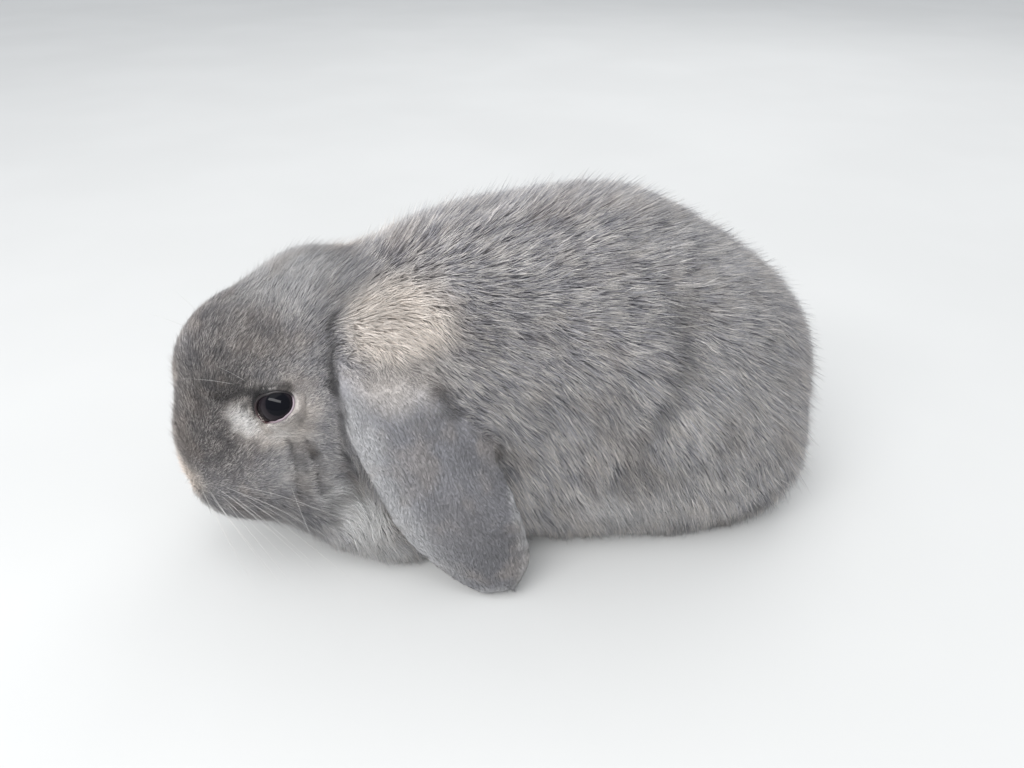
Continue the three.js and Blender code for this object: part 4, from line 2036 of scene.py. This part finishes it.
# ---- Studio ----
@dataclass(frozen=True)
class Panel:
    """One soft light that faces the rabbit, with its width and height in metres."""

    name: str
    place: Triple
    size: tuple[float, float]
    power: float
    target: Triple = (0.0, 0.0, 0.05)

    def build(self) -> None:
        """Hangs the light and turns it to its target."""
        data = bpy.data.lights.new(self.name, "AREA")
        data.shape = "RECTANGLE"
        data.size, data.size_y = self.size
        data.energy = self.power
        light = bpy.data.objects.new(self.name, data)
        light.location = self.place
        toward = Vector(self.target) - Vector(self.place)
        light.rotation_euler = toward.to_track_quat("-Z", "Y").to_euler()
        bpy.context.scene.collection.objects.link(light)


@dataclass
class Studio:
    """Camera, floor and soft light: a key above the head, a low window and a fill behind."""

    camera_place: Triple = (0.24986, -0.07061, 0.21077)
    turn: float = 75.299
    pitch: float = 32.2
    lens: float = 27.42
    sensor: float = 36.0
    floor_reach: float = 3.0
    sky: Colour = (0.93, 0.96, 1.0, 1.0)
    sky_strength: float = 0.92
    panels: tuple[Panel, ...] = (
        Panel("key", (0.2, -0.5, 1.3), (1.2, 1.2), 6.0),
        Panel("window", (0.6, -0.46, 0.66), (1.05, 0.17), 6.5),
        Panel("back", (-0.8, 0.6, 1.0), (1.0, 1.0), 4.5),
    )

    def build(self) -> None:
        """Sets the scene round the model."""
        self._camera()
        self._floor()
        for panel in self.panels:
            panel.build()
        world = bpy.data.worlds.new("sky")
        world.use_nodes = True
        colour, strength = world.node_tree.nodes["Background"].inputs[:2]
        colour.default_value = self.sky
        strength.default_value = self.sky_strength
        bpy.context.scene.world = world
        bpy.context.scene.view_settings.view_transform = "Standard"
        LOG.info("camera, floor and lights")

    def _camera(self) -> None:
        """The camera looks down at the rabbit's left side."""
        data = bpy.data.cameras.new("camera")
        data.lens = self.lens
        data.sensor_width = self.sensor
        data.clip_start = 0.01
        camera = bpy.data.objects.new("camera", data)
        camera.location = self.camera_place
        camera.rotation_euler = (math.radians(90.0 - self.pitch), 0.0, math.radians(self.turn))
        bpy.context.scene.collection.objects.link(camera)
        bpy.context.scene.camera = camera

    def _floor(self) -> None:
        """A plain pale floor."""
        corners = np.array([(-1, -1, 0), (1, -1, 0), (1, 1, 0), (-1, 1, 0)], dtype=float)
        mesh = mesh_from("floor", corners * self.floor_reach, np.array([(0, 1, 2, 3)]))
        finish = PlainFinish("pale_floor", (0.58, 0.58, 0.57, 1.0), (0.60, 0.60, 0.59, 1.0), 0.8, 0.2)
        mesh.materials.append(finish.material())
        shown("floor", mesh)


# ---- The rabbit ----
COATS = (
    Coat(
        "body_coat", Region.BODY, "body_fur", count=210000, pieces=5, length=1.45, width=0.42 * MM,
        seed=11, lift=1.12, fringe=1.1,
    ),
    Coat(
        "face_coat", Region.FACE, "face_fur", count=96000, pieces=2, length=1.9, width=0.27 * MM,
        seed=12, lock=2.5 * MM, gather=0.15, stray=0.14,
    ),
    Coat(
        "ear_coat", Region.EAR, "ear_fur", count=46000, pieces=1, length=6.5, width=0.24 * MM,
        seed=13, lift=0.55, gather=0.0, stray=0.1,
    ),
    Coat(
        "foot_coat", Region.FOOT, "foot_fur", count=15000, pieces=1, length=3.8, width=0.3 * MM,
        seed=14, lock=3.0 * MM,
    ),
)
HORN = PlainFinish("claw_horn", (0.11, 0.08, 0.06, 1.0), (0.2, 0.16, 0.12, 1.0), 0.35, 1.0 * MM)


def dress_claws() -> None:
    """Gives the claws their horn."""
    horn = HORN.material()
    for name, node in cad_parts.items():
        if name.startswith("claw_"):
            node.data.materials.clear()
            node.data.materials.append(horn)
    LOG.info("claws")


def main() -> None:
    """Builds the scene and the rabbit in order."""
    logging.basicConfig(level=logging.INFO, format="%(name)s: %(message)s")
    Studio().build()
    skin = Skin()
    skin.build()
    Eyes().build()
    dress_claws()
    for coat in COATS:
        coat.build(skin)
    Whiskers().build(skin)


if __name__ == "__main__":
    main()
